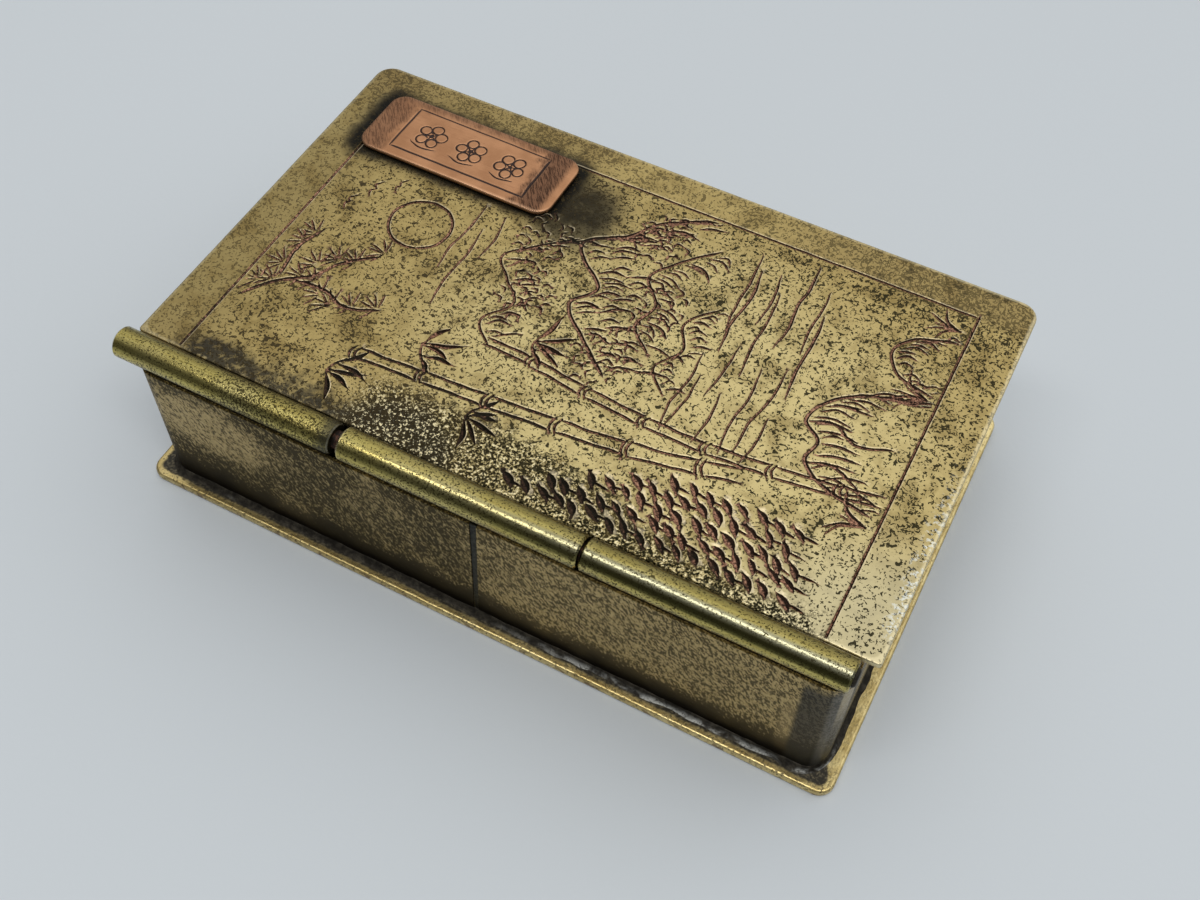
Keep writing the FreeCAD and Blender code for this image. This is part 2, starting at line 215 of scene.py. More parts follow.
class Engraving:
    """A map of how deep a plate is cut, filled one stroke at a time."""

    def __init__(self, low, high, place=None):
        self.low = np.array(low, float)
        self.place = place or (lambda points: points)
        size = np.ceil((np.array(high) - self.low) / MAP_CELL).astype(int) + 1
        self.cut = np.zeros(size)
        self.burr = np.zeros(size)
        self.guides = []
        self.within = None  # the corners of the area that strokes are kept in

    def stroke(self, points, width=LINE, depth=LINE_DEPTH, taper=1.2, leaf=False, wobble=WOBBLE):
        """Cuts a groove along the curve; a leaf swells in its middle and ends in points."""
        line = curve_through(points, STROKE_STEP)
        if self.within:
            low, high = self.within
            line = line[((line > low) & (line < high)).all(axis=1)]
        if len(line) < 2:
            return
        line = self.place(line)
        stray = bumpy(line, 0.4, len(self.guides) * 0.37) * wobble
        line = line + sideways(line) * stray[:, None]
        share = np.linspace(0, 1, len(line))
        if leaf:
            swell = np.sin(math.pi * share) ** 0.8
        else:
            from_end = np.minimum(share, 1 - share) * (len(line) * STROKE_STEP)
            swell = 0.45 + 0.55 * np.clip(from_end / taper, 0, 1)
        uneven = 1 + 1.2 * wobble * bumpy(line, 0.7, len(self.guides) * 0.53)
        halves = width / 2 * np.maximum(swell, 0.12) * uneven
        for start, end, half in zip(line, line[1:], (halves[1:] + halves[:-1]) / 2):
            self._stamp(start, end, half, depth * min(1, 0.45 + half / width))
        left = sideways(line)
        self.guides.append(line)
        for out in (halves * 0.8, halves + RIM_CREST, halves + RIM_CREST + 2 * RIM_WIDTH):
            self.guides += [line + left * out[:, None], line - left * out[:, None]]

    def _stamp(self, start, end, half, depth):
        """Cuts one straight piece of a groove, with a burr along its sides."""
        reach = half + RIM_CREST + 2 * RIM_WIDTH + MAP_CELL
        low = np.floor((np.minimum(start, end) - reach - self.low) / MAP_CELL).astype(int)
        high = np.ceil((np.maximum(start, end) + reach - self.low) / MAP_CELL).astype(int) + 1
        low, high = np.clip((low, high), 0, self.cut.shape)
        if (high <= low).any():
            return
        xs = self.low[0] + np.arange(low[0], high[0])[:, None] * MAP_CELL
        ys = self.low[1] + np.arange(low[1], high[1])[None, :] * MAP_CELL
        run = end - start
        share = ((xs - start[0]) * run[0] + (ys - start[1]) * run[1]) / (run @ run + 1e-9)
        share = np.clip(share, 0, 1)
        away = np.hypot(xs - start[0] - share * run[0], ys - start[1] - share * run[1])
        window = (slice(low[0], high[0]), slice(low[1], high[1]))
        groove = depth * np.clip(1 - (away / half) ** 2, 0, 1)
        ridge = np.exp(-(((away - half - RIM_CREST) / RIM_WIDTH) ** 2))
        self.cut[window] = np.maximum(self.cut[window], groove)
        self.burr[window] = np.maximum(self.burr[window], ridge * min(1, depth / LEAF_DEPTH))

    def at(self, points):
        """Cut depth and burr, from 0 to 1, at each point."""
        cells = (points - self.low) / MAP_CELL
        base = np.clip(np.floor(cells).astype(int), 0, np.array(self.cut.shape) - 2)
        share = np.clip(cells - base, 0, 1)
        found = []
        for grid in (self.cut, self.burr):
            near, far = (
                grid[base[:, 0] + step, base[:, 1]] * (1 - share[:, 1])
                + grid[base[:, 0] + step, base[:, 1] + 1] * share[:, 1]
                for step in (0, 1)
            )
            found.append(near * (1 - share[:, 0]) + far * share[:, 0])
        cut, burr = found
        return cut, burr * np.clip(1 - cut / BURR_FADE, 0, 1)

    def side(self, points):
        """Which side of a groove each point is on: 1 on its near side and 0 on its far side."""
        # The lid paints a highlight on the far burr and shade on the far floor by this side.
        ahead, _ = self.at(points + SIDE_STEP)
        behind, _ = self.at(points - SIDE_STEP)
        return np.clip(0.5 + (ahead - behind) / LINE_DEPTH, 0, 1)


def scattered(rim, inside, guides, step, seed):
    """Mesh points on a plate: its rim, then the engraving's rows, then an even scatter."""
    low, high = rim.min(axis=0), rim.max(axis=0)
    taken = {tuple(cell) for cell in np.round(rim / CLOSEST).astype(int)}
    kept = list(map(tuple, rim))
    busy = set()
    rows = np.vstack(guides)
    rows = rows[inside(rows, CLOSEST)]
    for point, cell in zip(rows, map(tuple, np.round(rows / CLOSEST).astype(int))):
        if cell not in taken:
            taken.add(cell)
            busy.add((int(point[0] // step), int(point[1] // step)))
            kept.append(tuple(point))
    rng = np.random.default_rng(seed)
    axes = [np.arange(start, stop, step) for start, stop in zip(low, high)]
    grid = np.array(np.meshgrid(*axes)).reshape(2, -1).T
    grid += rng.uniform(0.2, 0.8, grid.shape) * step
    for point in grid[inside(grid, step * 0.4)]:
        if (int(point[0] // step), int(point[1] // step)) not in busy:
            kept.append(tuple(point))
    return np.array(kept)


def plate_mesh(low, high, bottom, radii, edge_round, step, cuts, height, seed):
    """Vertices and faces of a plate with an engraved top.

    height gives the top's z at each point. The upper edge is rounded and so, a little, is
    the lower one.
    """
    inner = [max(radius - edge_round, 0.05) for radius in radii]
    rim, normals = rounded_outline(low + edge_round, high - edge_round, inner, step)

    def inside(points, margin):
        middle, half = (low + high) / 2, (high - low) / 2 - edge_round - margin
        radius = np.where(points[:, 1] > middle[1], inner[2], inner[0])
        over = np.abs(points - middle) - half + radius[:, None]
        return np.hypot(*np.maximum(over, 0).T) + np.minimum(over.max(axis=1), 0) < radius

    points = scattered(rim, inside, cuts.guides, PLAIN_STEP, seed)
    loop = [(i, (i + 1) % len(rim)) for i in range(len(rim))]
    flat = [Vector(point) for point in points]
    placed, _, faces, origins, _, _ = delaunay_2d_cdt(flat, loop, [], 1, 1e-6)
    places = np.array([tuple(point) for point in placed])
    rim_index = [0] * len(rim)
    for index, sources in enumerate(origins):
        for source in sources:
            if source < len(rim):
                rim_index[source] = index
    vertices = np.column_stack([places, height(places)])
    rim_z = vertices[rim_index, 2]
    angles = [math.pi / 8 * k for k in range(1, 5)]
    sections = [
        (edge_round * math.sin(a), rim_z - edge_round * (1 - math.cos(a))) for a in angles
    ]
    sections += [(edge_round, bottom + UNDER_ROUND), (edge_round - UNDER_ROUND, bottom)]
    rings = [rim_index]
    for out, z in sections:
        ring = np.column_stack([rim + normals * out, np.broadcast_to(z, len(rim))])
        rings.append(list(range(len(vertices), len(vertices) + len(ring))))
        vertices = np.vstack([vertices, ring])
    faces = [tuple(face) for face in faces]
    for upper, lower in zip(rings, rings[1:]):
        faces += [(upper[i], lower[i], lower[j], upper[j]) for i, j in loop]
    faces.append(tuple(reversed(rings[-1])))
    return vertices, faces


def add_object(name, data):
    """A new object in the scene."""
    made = bpy.data.objects.new(name, data)
    bpy.context.scene.collection.objects.link(made)
    return made


def new_mesh(name, vertices, faces):
    """A mesh from millimetre vertices."""
    mesh = bpy.data.meshes.new(name)
    mesh.from_pydata((np.array(vertices) * MM).tolist(), [], faces)
    return mesh


def new_piece(name, vertices, faces, material, body, slot, node):
    """A piece from millimetre vertices that rides a body and stands for a CAD node."""
    mesh = new_mesh(name, vertices, faces)
    mesh.materials.append(material)
    mesh.shade_smooth()
    mesh.set_sharp_from_angle(angle=math.radians(50))
    mesh.validate()
    piece = add_object(name, mesh)
    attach(piece, body)
    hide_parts(node)
    return piece


def store(piece, name, values):
    """Stores one number per vertex, from 0 to 1, for a material to read."""
    attribute = piece.data.attributes.new(name, "FLOAT", "POINT")
    attribute.data.foreach_set("value", np.asarray(values, dtype=np.float32))


def store_cuts(piece, cuts, places, on_top):
    cut, burr = cuts.at(places)
    store(piece, "cut", np.clip(cut / LINE_DEPTH, 0, 1) * on_top)
    store(piece, "burr", burr * on_top)


# The cover's picture: bamboo, hills, water and a moon. u runs from the cover's outer side to
# the hinge and v from its top to its bottom.


def bamboo_culm(cuts, spine, width, joint_every, rng):
    """A jointed stem, narrower between its joints and towards its tip."""
    line = curve_through(spine, CULM_STEP)
    left = sideways(line)
    stations = int(joint_every / CULM_STEP)
    start = int(stations * rng.uniform(0.4, 0.9))
    joints = [0] + list(range(start, len(line) - 4, stations)) + [len(line) - 1]
    for first, last in zip(joints, joints[1:]):
        share = np.linspace(0, 1, last - first + 1)
        thinner = 1 - 0.3 * first / len(line)
        waist = width / 2 * thinner * (1 - 0.14 * np.sin(math.pi * share))
        for side in (-1, 1):
            run = line[first : last + 1] + left[first : last + 1] * (side * waist)[:, None]
            run = run[1:-1]
            if len(run) > 8:
                cuts.stroke(run[:: len(run) // 5])
        if last < len(line) - 1:
            across = left[last] * width * thinner * 0.62
            ahead = line[last] - line[last - 1]
            ahead /= np.hypot(*ahead)
            for shift in (-0.35, 0.45):
                centre = line[last] + ahead * shift
                cuts.stroke([centre - across, centre + ahead * 0.5, centre + across], FINE)
            if line[last][1] < 60:
                leafy_twig(cuts, line[last], left[last] * rng.choice((-1, 1)), width, rng)


def leafy_twig(cuts, joint, outward, width, rng):
    """A twig that rises beside a culm's joint and ends in hanging leaves."""
    reach = rng.uniform(2.4, 4.6)
    start = joint + outward * width / 2
    middle = start + outward * reach * 0.5 + np.array([0, -reach * 0.5])
    tip = start + outward * reach + np.array([0, -reach * 0.7])
    cuts.stroke([start, middle, tip], FINE)
    lean = outward[0] * 22
    leaf_spray(cuts, tip, 90 - lean, rng.choice((3, 4)), 5.6, rng)
    if rng.random() < 0.6:
        leaf_spray(cuts, middle, 92 + lean, 2, 4.2, rng)


def leaf_spray(cuts, tip, degrees, count, length, rng):
    """Lance leaves that fan out of one point, about the direction at so many degrees."""
    for k in range(count):
        spread = (k / (count - 1) - 0.5) * 26 * count
        along = heading(math.radians(degrees + spread + rng.uniform(-9, 9)))
        reach = length * rng.uniform(0.65, 1.15)
        across = crossed(along) * reach * rng.uniform(-0.1, 0.1)
        start = tip + along * 0.8
        middle = start + along * reach * 0.5 + across
        width = rng.uniform(0.65, 0.95)
        cuts.stroke([start, middle, start + along * reach], width, LEAF_DEPTH, leaf=True)
        cuts.stroke([tip, start], FINE, taper=0.4)


def hillside(cuts, ridge, lean, reach, every, rng, width=LINE, rows=1):
    """A ridge line with rows of short strokes running down from it, leaning by degrees."""
    cuts.stroke(ridge, width)
    for start in curve_through(ridge, every)[1:-1]:
        along = heading(math.radians(90 + lean + rng.uniform(-12, 12)))
        for _ in range(rows):
            length = rng.uniform(*reach)
            start = start + along * rng.uniform(0.7, 1.5)
            middle = start + along * length * 0.5 + crossed(along) * rng.uniform(0.1, 0.9)
            end = start + along * length
            if rng.random() < 0.88:
                cuts.stroke([start, middle, end], rng.choice((FINE, LINE)))
            start = end


def foliage(cuts, centre, reach, count, rng):
    """A clump of small curved touches that keep clear of each other."""
    kept = []
    for _ in range(count * 4):
        turn, share = rng.uniform(0, 2 * math.pi), math.sqrt(rng.random())
        place = np.array(centre) + heading(turn) * reach * share
        if len(kept) == count or any(np.hypot(*(place - other)) < 1.25 for other in kept):
            continue
        kept.append(place)
        half = heading(rng.uniform(0, math.pi)) * rng.uniform(0.45, 0.8)
        bow = crossed(half) * rng.uniform(0.5, 0.9)
        cuts.stroke([place - half, place + bow, place + half], FINE, taper=0.5)


def pine_bough(cuts, spine, rng):
    """A bough with fans of needles along it."""
    cuts.stroke(spine, BOLD)
    for point in curve_through(spine, 3.4)[1:]:
        foot = point + np.array([rng.uniform(-1.2, 1.2), rng.uniform(-1.5, 0.5)])
        middle = rng.uniform(60, 120)
        for k in range(6):
            along = heading(-math.radians(middle + (k - 2.5) * 29 + rng.uniform(-5, 5)))
            cuts.stroke([foot + along * 0.8, foot + along * rng.uniform(2.3, 3.1)], FINE)


def ripple(cuts, u0, u1, v, rng, width=FINE):
    """A long wavering line that drifts a little to one side."""
    count = max(2, int((u1 - u0) / 4.5))
    drift = rng.uniform(-1.4, 1.0)
    points = []
    for k in range(count + 1):
        rise = (0.3 if k % 2 else -0.3) * rng.uniform(0.2, 1.3)
        points.append((u0 + (u1 - u0) * k / count, v + rise + drift * k / count))
    cuts.stroke(points, width, taper=4)


def pit_bed(cuts, spots, degrees, rng):
    """Almond-shaped pits strung on short stems, as of low leaves."""
    for spot in spots:
        along = heading(math.radians(degrees + rng.uniform(-11, 11)))
        foot = np.array(spot) + np.array([rng.uniform(-0.4, 0.4), rng.uniform(-0.4, 0.4)])
        tip = foot + along * rng.uniform(2.2, 2.9)
        bulge = (foot + tip) / 2 + crossed(along) * 0.12
        cuts.stroke([foot, bulge, tip], rng.uniform(1.05, 1.4), LEAF_DEPTH, leaf=True)
        if rng.random() < 0.75:
            stem = bulge + along * 0.3 + np.array([0, 0.4])
            reach = np.array([rng.uniform(-0.1, 0.5), rng.uniform(1.3, 2.6)])
            cuts.stroke([stem, stem + reach], FINE, 0.24, taper=0.8)


def ring(cuts, centre, radius, width):
    turns = [2 * math.pi * k / 16 + 0.4 for k in range(17)]
    points = [np.array(centre) + radius * heading(turn) for turn in turns]
    cuts.stroke(points, width, taper=0.6)


def grass(cuts, foot, count, height, rng):
    for k in range(count):
        lean = (k - (count - 1) / 2) * 0.33 + rng.uniform(-0.1, 0.1)
        tall = height * rng.uniform(0.65, 1.1)
        middle = (foot[0] + lean * tall * 0.35, foot[1] - tall * 0.55)
        tip = (foot[0] + lean * tall, foot[1] - tall * (1 - abs(lean) * 0.35))
        cuts.stroke([foot, middle, tip], rng.choice((FINE, LINE)), taper=2)


def bird(cuts, u, v, span):
    left_wing = [(u - span, v + span * 0.1), (u - span * 0.4, v - span * 0.32), (u, v)]
    right_wing = [(u, v), (u + span * 0.35, v - span * 0.4), (u + span, v - span * 0.12)]
    cuts.stroke(left_wing, FINE)
    cuts.stroke(right_wing, FINE)


def draw_border(cuts, width):
    past = width + 0.5
    lines = (
        [(BORDER_SIDE - 0.5, BORDER_BOTTOM), (past, BORDER_BOTTOM)],
        [(BORDER_SIDE, BORDER_BOTTOM + 0.2), (BORDER_SIDE, BORDER_TOP)],
        [(BORDER_SIDE, BORDER_TOP), (past, BORDER_TOP)],
    )
    for line in lines:
        cuts.stroke(line, FINE, wobble=STEADY)


def draw_hills(cuts, rng):
    far = [(21, 50), (26, 44.5), (30, 41), (34, 44), (38, 47.5), (43, 44.5), (47, 48)]
    near = [(8, 66), (12, 60), (17, 56.5), (21, 51), (25, 53)]
    near += [(29, 57.5), (34, 55), (39, 60), (44, 66)]
    spur = [(13, 71), (18, 66.5), (23, 63.5), (28, 67), (33, 66), (37, 70)]
    foot = [(24, 76), (29, 72.5), (34, 74.5), (39, 72), (43, 75.5)]
    hillside(cuts, far, 24, (2.0, 4.5), 1.5, rng, FINE)
    hillside(cuts, near, 18, (2.2, 4.0), 1.1, rng, BOLD, rows=2)
    hillside(cuts, spur, -16, (2.0, 5.0), 1.1, rng)
    hillside(cuts, foot, 10, (1.2, 2.6), 1.3, rng, FINE)
    for clump in ((24, 45), (35, 48), (15, 62), (41, 64), (29, 68)):
        foliage(cuts, clump, (5.6, 4.2), 26, rng)


def draw_water(cuts, rng):
    for v in (77.5, 79.0, 82.0, 83.3, 86.6, 90.0, 91.2):
        start = rng.uniform(8, 18)
        while start < 42:
            stop = start + rng.uniform(9, 20)
            ripple(cuts, start, min(stop, 49), v, rng, rng.choice((FINE, LINE)))
            start = stop + rng.uniform(3, 8)


def draw_rocks(cuts, rng):
    big = [(27, 110), (28.5, 103), (32, 98), (37, 96), (40, 99), (44, 98.5)]
    big += [(47, 103), (48.5, 110)]
    hillside(cuts, big, 14, (2.5, 6.0), 1.3, rng, BOLD)
    cuts.stroke([(37, 96.5), (36, 100), (38, 104), (36.5, 109)])
    cuts.stroke([(44, 99), (43, 102.5), (45, 107)])
    small = [(13, 110.5), (15, 105), (19, 102.5), (23, 105), (24.5, 110.5)]
    hillside(cuts, small, 10, (1.5, 3.6), 1.3, rng)
    for u in (10.5, 25.5, 50.5):
        grass(cuts, (u, 110.5), 5, 6.0, rng)


def draw_sky(cuts, rng):
    ring(cuts, (30.5, 26), 5.2, LINE)
    for u0, u1, v in ((22, 37, 33.4), (27, 44, 35.6), (23, 32, 37.6)):
        ripple(cuts, u0, u1, v, rng)
    for u, v, span in ((27, 15.5, 2.0), (31.5, 13.2, 1.6), (24.6, 18.6, 1.5)):
        bird(cuts, u, v, span)
    pine_bough(cuts, [(56, 9.5), (51.5, 12.5), (48, 17), (43.5, 19.5), (39.5, 24)], rng)
    pine_bough(cuts, [(50, 15), (49.5, 20.5), (51, 25), (49, 30)], rng)
    pine_bough(cuts, [(50, 12.5), (44, 11.5), (39, 13)], rng)


def draw_bamboo(cuts, rng):
    tall = [(50.6, 92), (53.0, 82), (54.8, 70), (56.0, 56), (57.0, 40), (57.8, 28)]
    middle = [(45.5, 111), (47.6, 98), (48.8, 82), (48.0, 66), (46.6, 54), (46.4, 46)]
    bamboo_culm(cuts, tall, 2.6, 11, rng)
    bamboo_culm(cuts, middle, 2.1, 10, rng)
    spots = []
    for row in range(5):
        start = 62 + 6 * row
        for k in range(int((108 - start) / 2.6)):
            spots.append((65.6 - 2.6 * row, start + 2.6 * k - 0.65 * row))
    pit_bed(cuts, spots, 44, rng)


def cover_engraving(low, high):
    """The border and the picture, on a map over the lid."""
    rng = random.Random(41)

    def place(points):
        return np.column_stack([low[0] + points[:, 1], high[1] - points[:, 0]])

    cuts = Engraving(low[:2], high[:2], place)
    width = high[1] - low[1]
    draw_border(cuts, width)
    first = (BORDER_SIDE + BORDER_GAP, BORDER_TOP + BORDER_GAP)
    cuts.within = (first, (width - BORDER_GAP, BORDER_BOTTOM - BORDER_GAP))
    draw_sky(cuts, rng)
    draw_hills(cuts, rng)
    draw_water(cuts, rng)
    draw_rocks(cuts, rng)
    draw_bamboo(cuts, rng)
    return cuts


def blossom(cuts, centre, radius, turn):
    """A plum blossom: five round petals about a dot, with short stamens."""
    centre = np.array(centre)
    for petal in range(5):
        angle = math.radians(72 * petal + turn)
        ring(cuts, centre + radius * heading(angle), radius * 0.56, 0.3)
        stamen = [centre, centre + radius * 0.8 * heading(angle + 0.6)]
        cuts.stroke(stamen, 0.26, taper=0.3)
    ring(cuts, centre, 0.3, 0.36)


def plaque_engraving(half):
    """The plaque's inner frame with three blossoms in it, about the plaque's centre."""
    cuts = Engraving(-half, half)
    left, right, front, back = -12.6, 12.8, -4.9, 5.0
    left_side = [(left, front - 0.1), (left + 0.1, back)]
    right_side = [(right, front - 0.1), (right, 0), (right + 0.1, back - 0.2)]
    cuts.stroke(left_side, 0.42, 0.14, wobble=STEADY)
    cuts.stroke([(left - 0.1, back), (right, back - 0.1)], 0.38, 0.13, wobble=STEADY)
    cuts.stroke([(left, front), (right + 0.2, front)], 0.46, 0.16, wobble=STEADY)
    cuts.stroke(right_side, 0.46, 0.18)
    for x, turn in ((-7.4, 10), (0.2, 34), (7.8, 55)):
        blossom(cuts, (x, 0.1), 1.75, turn)
        cuts.stroke([(x - 2.4, -2.6), (x - 0.6, -3.2), (x + 1.9, -2.7)], 0.34, taper=1.5)
    return cuts


# Pieces of the scene's own


def make_lid(material):
    low, high = box_mm("lid_plate")
    cuts = cover_engraving(low, high)

    def height(points):
        cut, burr = cuts.at(points)
        waves = bumpy(points, 0.045, 3.1) * 0.6 + bumpy(points, 0.16, 7.7) * 0.25
        dents = np.clip(bumpy(points, 0.5, 1.3), 0, 1) * LID_DENT
        return high[2] - LID_SAG * (0.5 + 0.5 * waves) - dents - cut + burr * BURR_HEIGHT

    edge = (LID_CORNERS, LID_EDGE_ROUND, LID_RIM_STEP)
    shape = plate_mesh(low[:2], high[:2], low[2], *edge, cuts, height, seed=5)
    lid = new_piece("engraved_lid", *shape, material, "lid", "brass_lid", "lid_plate")
    vertices = shape[0]
    store_cuts(lid, cuts, vertices[:, :2], vertices[:, 2] > high[2] - LID_TOP_DEPTH)
    # Which side of each groove a vertex is on, for the painted highlight and shade on the
    # grooves.
    store(lid, "side", cuts.side(vertices[:, :2]))


def make_plaque(material):
    low, high = box_mm("title_plaque")
    half = np.array([PLAQUE_LENGTH, PLAQUE_WIDTH]) / 2
    cuts = plaque_engraving(half)

    def height(points):
        cut, burr = cuts.at(points)
        crown = PLAQUE_CROWN * ((points / half) ** 2).sum(axis=1) / 2
        waves = PLAQUE_WAVE * (1 + bumpy(points, 0.2, 9.0))
        return high[2] - crown - waves - cut + burr * PLAQUE_BURR_HEIGHT

    edge = (PLAQUE_CORNERS, PLAQUE_EDGE_ROUND, PLAQUE_RIM_STEP)
    vertices, faces = plate_mesh(-half, half, low[2], *edge, cuts, height, seed=6)
    turn = np.array(Matrix.Rotation(PLAQUE_TILT, 2))
    laid = vertices.copy()
    laid[:, :2] = vertices[:, :2] @ turn.T + (low + high)[:2] / 2
    plaque = new_piece(
        "copper_title_plaque", laid, faces, material, "lid", "copper_plaque", "title_plaque"
    )
    store_cuts(plaque, cuts, vertices[:, :2], vertices[:, 2] > high[2] - PLAQUE_TOP_DEPTH)


def make_foot_solder(material):
    """A lumpy fillet of solder round the foot of the wall."""
    low, high = box_mm("wall_band")
    base_top = box_mm("base_plate")[1][2]
    path, normals = rounded_outline(low[:2], high[:2], WALL_CORNERS, BEAD_STEP)
    vertices, faces = [], []
    for point, normal in zip(path, normals):
        at = Vector((*point, 0.0))
        lump = noise.noise(at * 0.35) * 0.5 + noise.noise(at * 1.1) * 0.4
        tall = BEAD_HEIGHT + 0.42 * lump
        wide = BEAD_WIDTH + 0.5 * noise.noise(at * 0.25 + Vector((0, 0, 9))) + 0.25 * lump
        profile = [(-BEAD_BEHIND, -BEAD_SUNK), (-BEAD_BEHIND, tall)]
        for row in range(BEAD_ROWS):
            share = row / (BEAD_ROWS - 1)
            grain = 0.07 * noise.noise(at * 2.3 + Vector((0, 0, share * 3)))
            up = tall * (1 - share) ** 1.5 + grain * math.sin(math.pi * share)
            profile.append((wide * share, up))
        profile.append((wide, -BEAD_SUNK))
        vertices += [(*(point + normal * out), base_top + up) for out, up in profile]
    count = BEAD_ROWS + 3
    for index in range(len(path)):
        here, after = index * count, (index + 1) % len(path) * count
        for row in range(count):
            above = (row + 1) % count
            faces.append((after + row, after + above, here + above, here + row))
    new_piece("foot_solder", vertices, faces, material, "case", "solder", "base_solder_bead")


def make_floss(material):
    """A pad of ink-soaked silk floss, swollen by cloth pressure and matted by hand."""
    low, high = box_mm("ink_floss")
    low, high = low + PAD_SHRINK * 0.5, high - PAD_SHRINK
    spans = list(zip(low, high))
    corners = [(x, y, z) for z in spans[2] for y in spans[1] for x in spans[0]]
    faces = [(0, 2, 3, 1), (4, 5, 7, 6), (0, 1, 5, 4), (2, 6, 7, 3), (0, 4, 6, 2), (1, 3, 7, 5)]
    pad = add_object("ink_floss_pad", new_mesh("floss_block", corners, faces))
    bpy.context.view_layer.objects.active = pad
    remesh = pad.modifiers.new("remesh", "REMESH")
    remesh.mode = "VOXEL"
    remesh.voxel_size = PAD_VOXEL * MM
    pad.modifiers.new("soften", "SMOOTH").iterations = PAD_SMOOTHING
    apply_modifiers(pad)
    swell(pad)
    pad.modifiers.new("refine", "SUBSURF").levels = 2
    apply_modifiers(pad)
    mat_down(pad, low, high)
    pad.data.materials.append(material)
    pad.data.shade_smooth()
    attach(pad, "case")
    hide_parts("ink_floss")


def apply_modifiers(piece):
    """Replaces the piece's mesh by what its modifiers make of it."""
    graph = bpy.context.evaluated_depsgraph_get()
    made = bpy.data.meshes.new_from_object(piece.evaluated_get(graph), depsgraph=graph)
    piece.modifiers.clear()
    piece.data = made


def swell(pad):
    """Blows the pad up a little with cloth pressure, capped at PAD_MOVE_CAP."""
    scene = bpy.context.scene
    before = [vertex.co.copy() for vertex in pad.data.vertices]
    cloth = pad.modifiers.new("cloth", "CLOTH")
    cloth.settings.use_pressure = True
    cloth.settings.uniform_pressure_force = PAD_PRESSURE
    cloth.settings.effector_weights.gravity = 0
    cloth.point_cache.frame_end = PAD_FRAMES
    for number in range(1, PAD_FRAMES + 1):
        scene.frame_set(number)
    graph = bpy.context.evaluated_depsgraph_get()
    after = [vertex.co.copy() for vertex in pad.evaluated_get(graph).data.vertices]
    pad.modifiers.clear()
    scene.frame_set(1)
    for vertex, start, end in zip(pad.data.vertices, before, after):
        move = end - start
        if move.length > PAD_MOVE_CAP * MM:
            move *= PAD_MOVE_CAP * MM / move.length
        vertex.co = start + move


def mat_down(pad, low, high):
    """Presses hollows and strands into the pad's upper side, and keeps it off the tray."""
    for vertex in pad.data.vertices:
        x, y, z = vertex.co / MM
        share = max(0.0, min(1.0, (z - low[2]) / (high[2] - low[2])))
        hollow = noise.noise(Vector((x * 0.05, y * 0.07, 2.0))) * 1.6
        tufts = noise.noise(Vector((x * 0.22, y * 0.3, 5.0))) * 0.7
        strands = noise.noise(Vector((x * 0.5, y * 1.6, 8.0))) * 0.3
        vertex.co.z += (hollow + tufts + strands - PAD_PRESSED) * share * MM
        vertex.co.z = max(vertex.co.z, low[2] * MM)


# Materials


class Nodes:
    """The node tree of a material or a world, and short ways to add to it."""

    def __init__(self, owner):
        owner.use_nodes = True
        self.nodes = owner.node_tree.nodes
        self.links = owner.node_tree.links

    def node(self, kind, inputs=None, **settings):
        """A new node; its inputs are numbers, colours, sockets or Values."""
        node = self.nodes.new("ShaderNode" + kind)
        for name, value in settings.items():
            setattr(node, name, value)
        for key, value in (inputs or {}).items():
            self.set(node.inputs[key], value)
        return node

    def set(self, socket, value):
        if isinstance(value, Value):
            value = value.socket
        if isinstance(value, bpy.types.NodeSocket):
            self.links.new(value, socket)
        elif socket.type == "RGBA":
            socket.default_value = (*value, 1)
        else:
            socket.default_value = value


class Value:
    """A number that nodes work out, which can stand in sums and products."""

    def __init__(self, shader, socket):
        self.shader = shader
        self.socket = socket

    def __add__(self, other):
        return self.shader.math("ADD", self, other)

    def __sub__(self, other):
        return self.shader.math("SUBTRACT", self, other)

    def __rsub__(self, other):
        return self.shader.math("SUBTRACT", other, self)

    def __mul__(self, other):
        return self.shader.math("MULTIPLY", self, other)

    def band(self, low, high, to_low=0.0, to_high=1.0):
        """Goes smoothly from to_low to to_high as the value goes from low to high."""
        ends = {"From Min": low, "From Max": high, "To Min": to_low, "To Max": to_high}
        inputs = {"Value": self, **ends}
        node = self.shader.node("MapRange", inputs, interpolation_type="SMOOTHSTEP")
        return Value(self.shader, node.outputs["Result"])

    def strip(self, start, full, last, end):
        """0 up to start, 1 from full to last, and 0 from end on."""
        return self.band(start, full) * self.band(end, last)


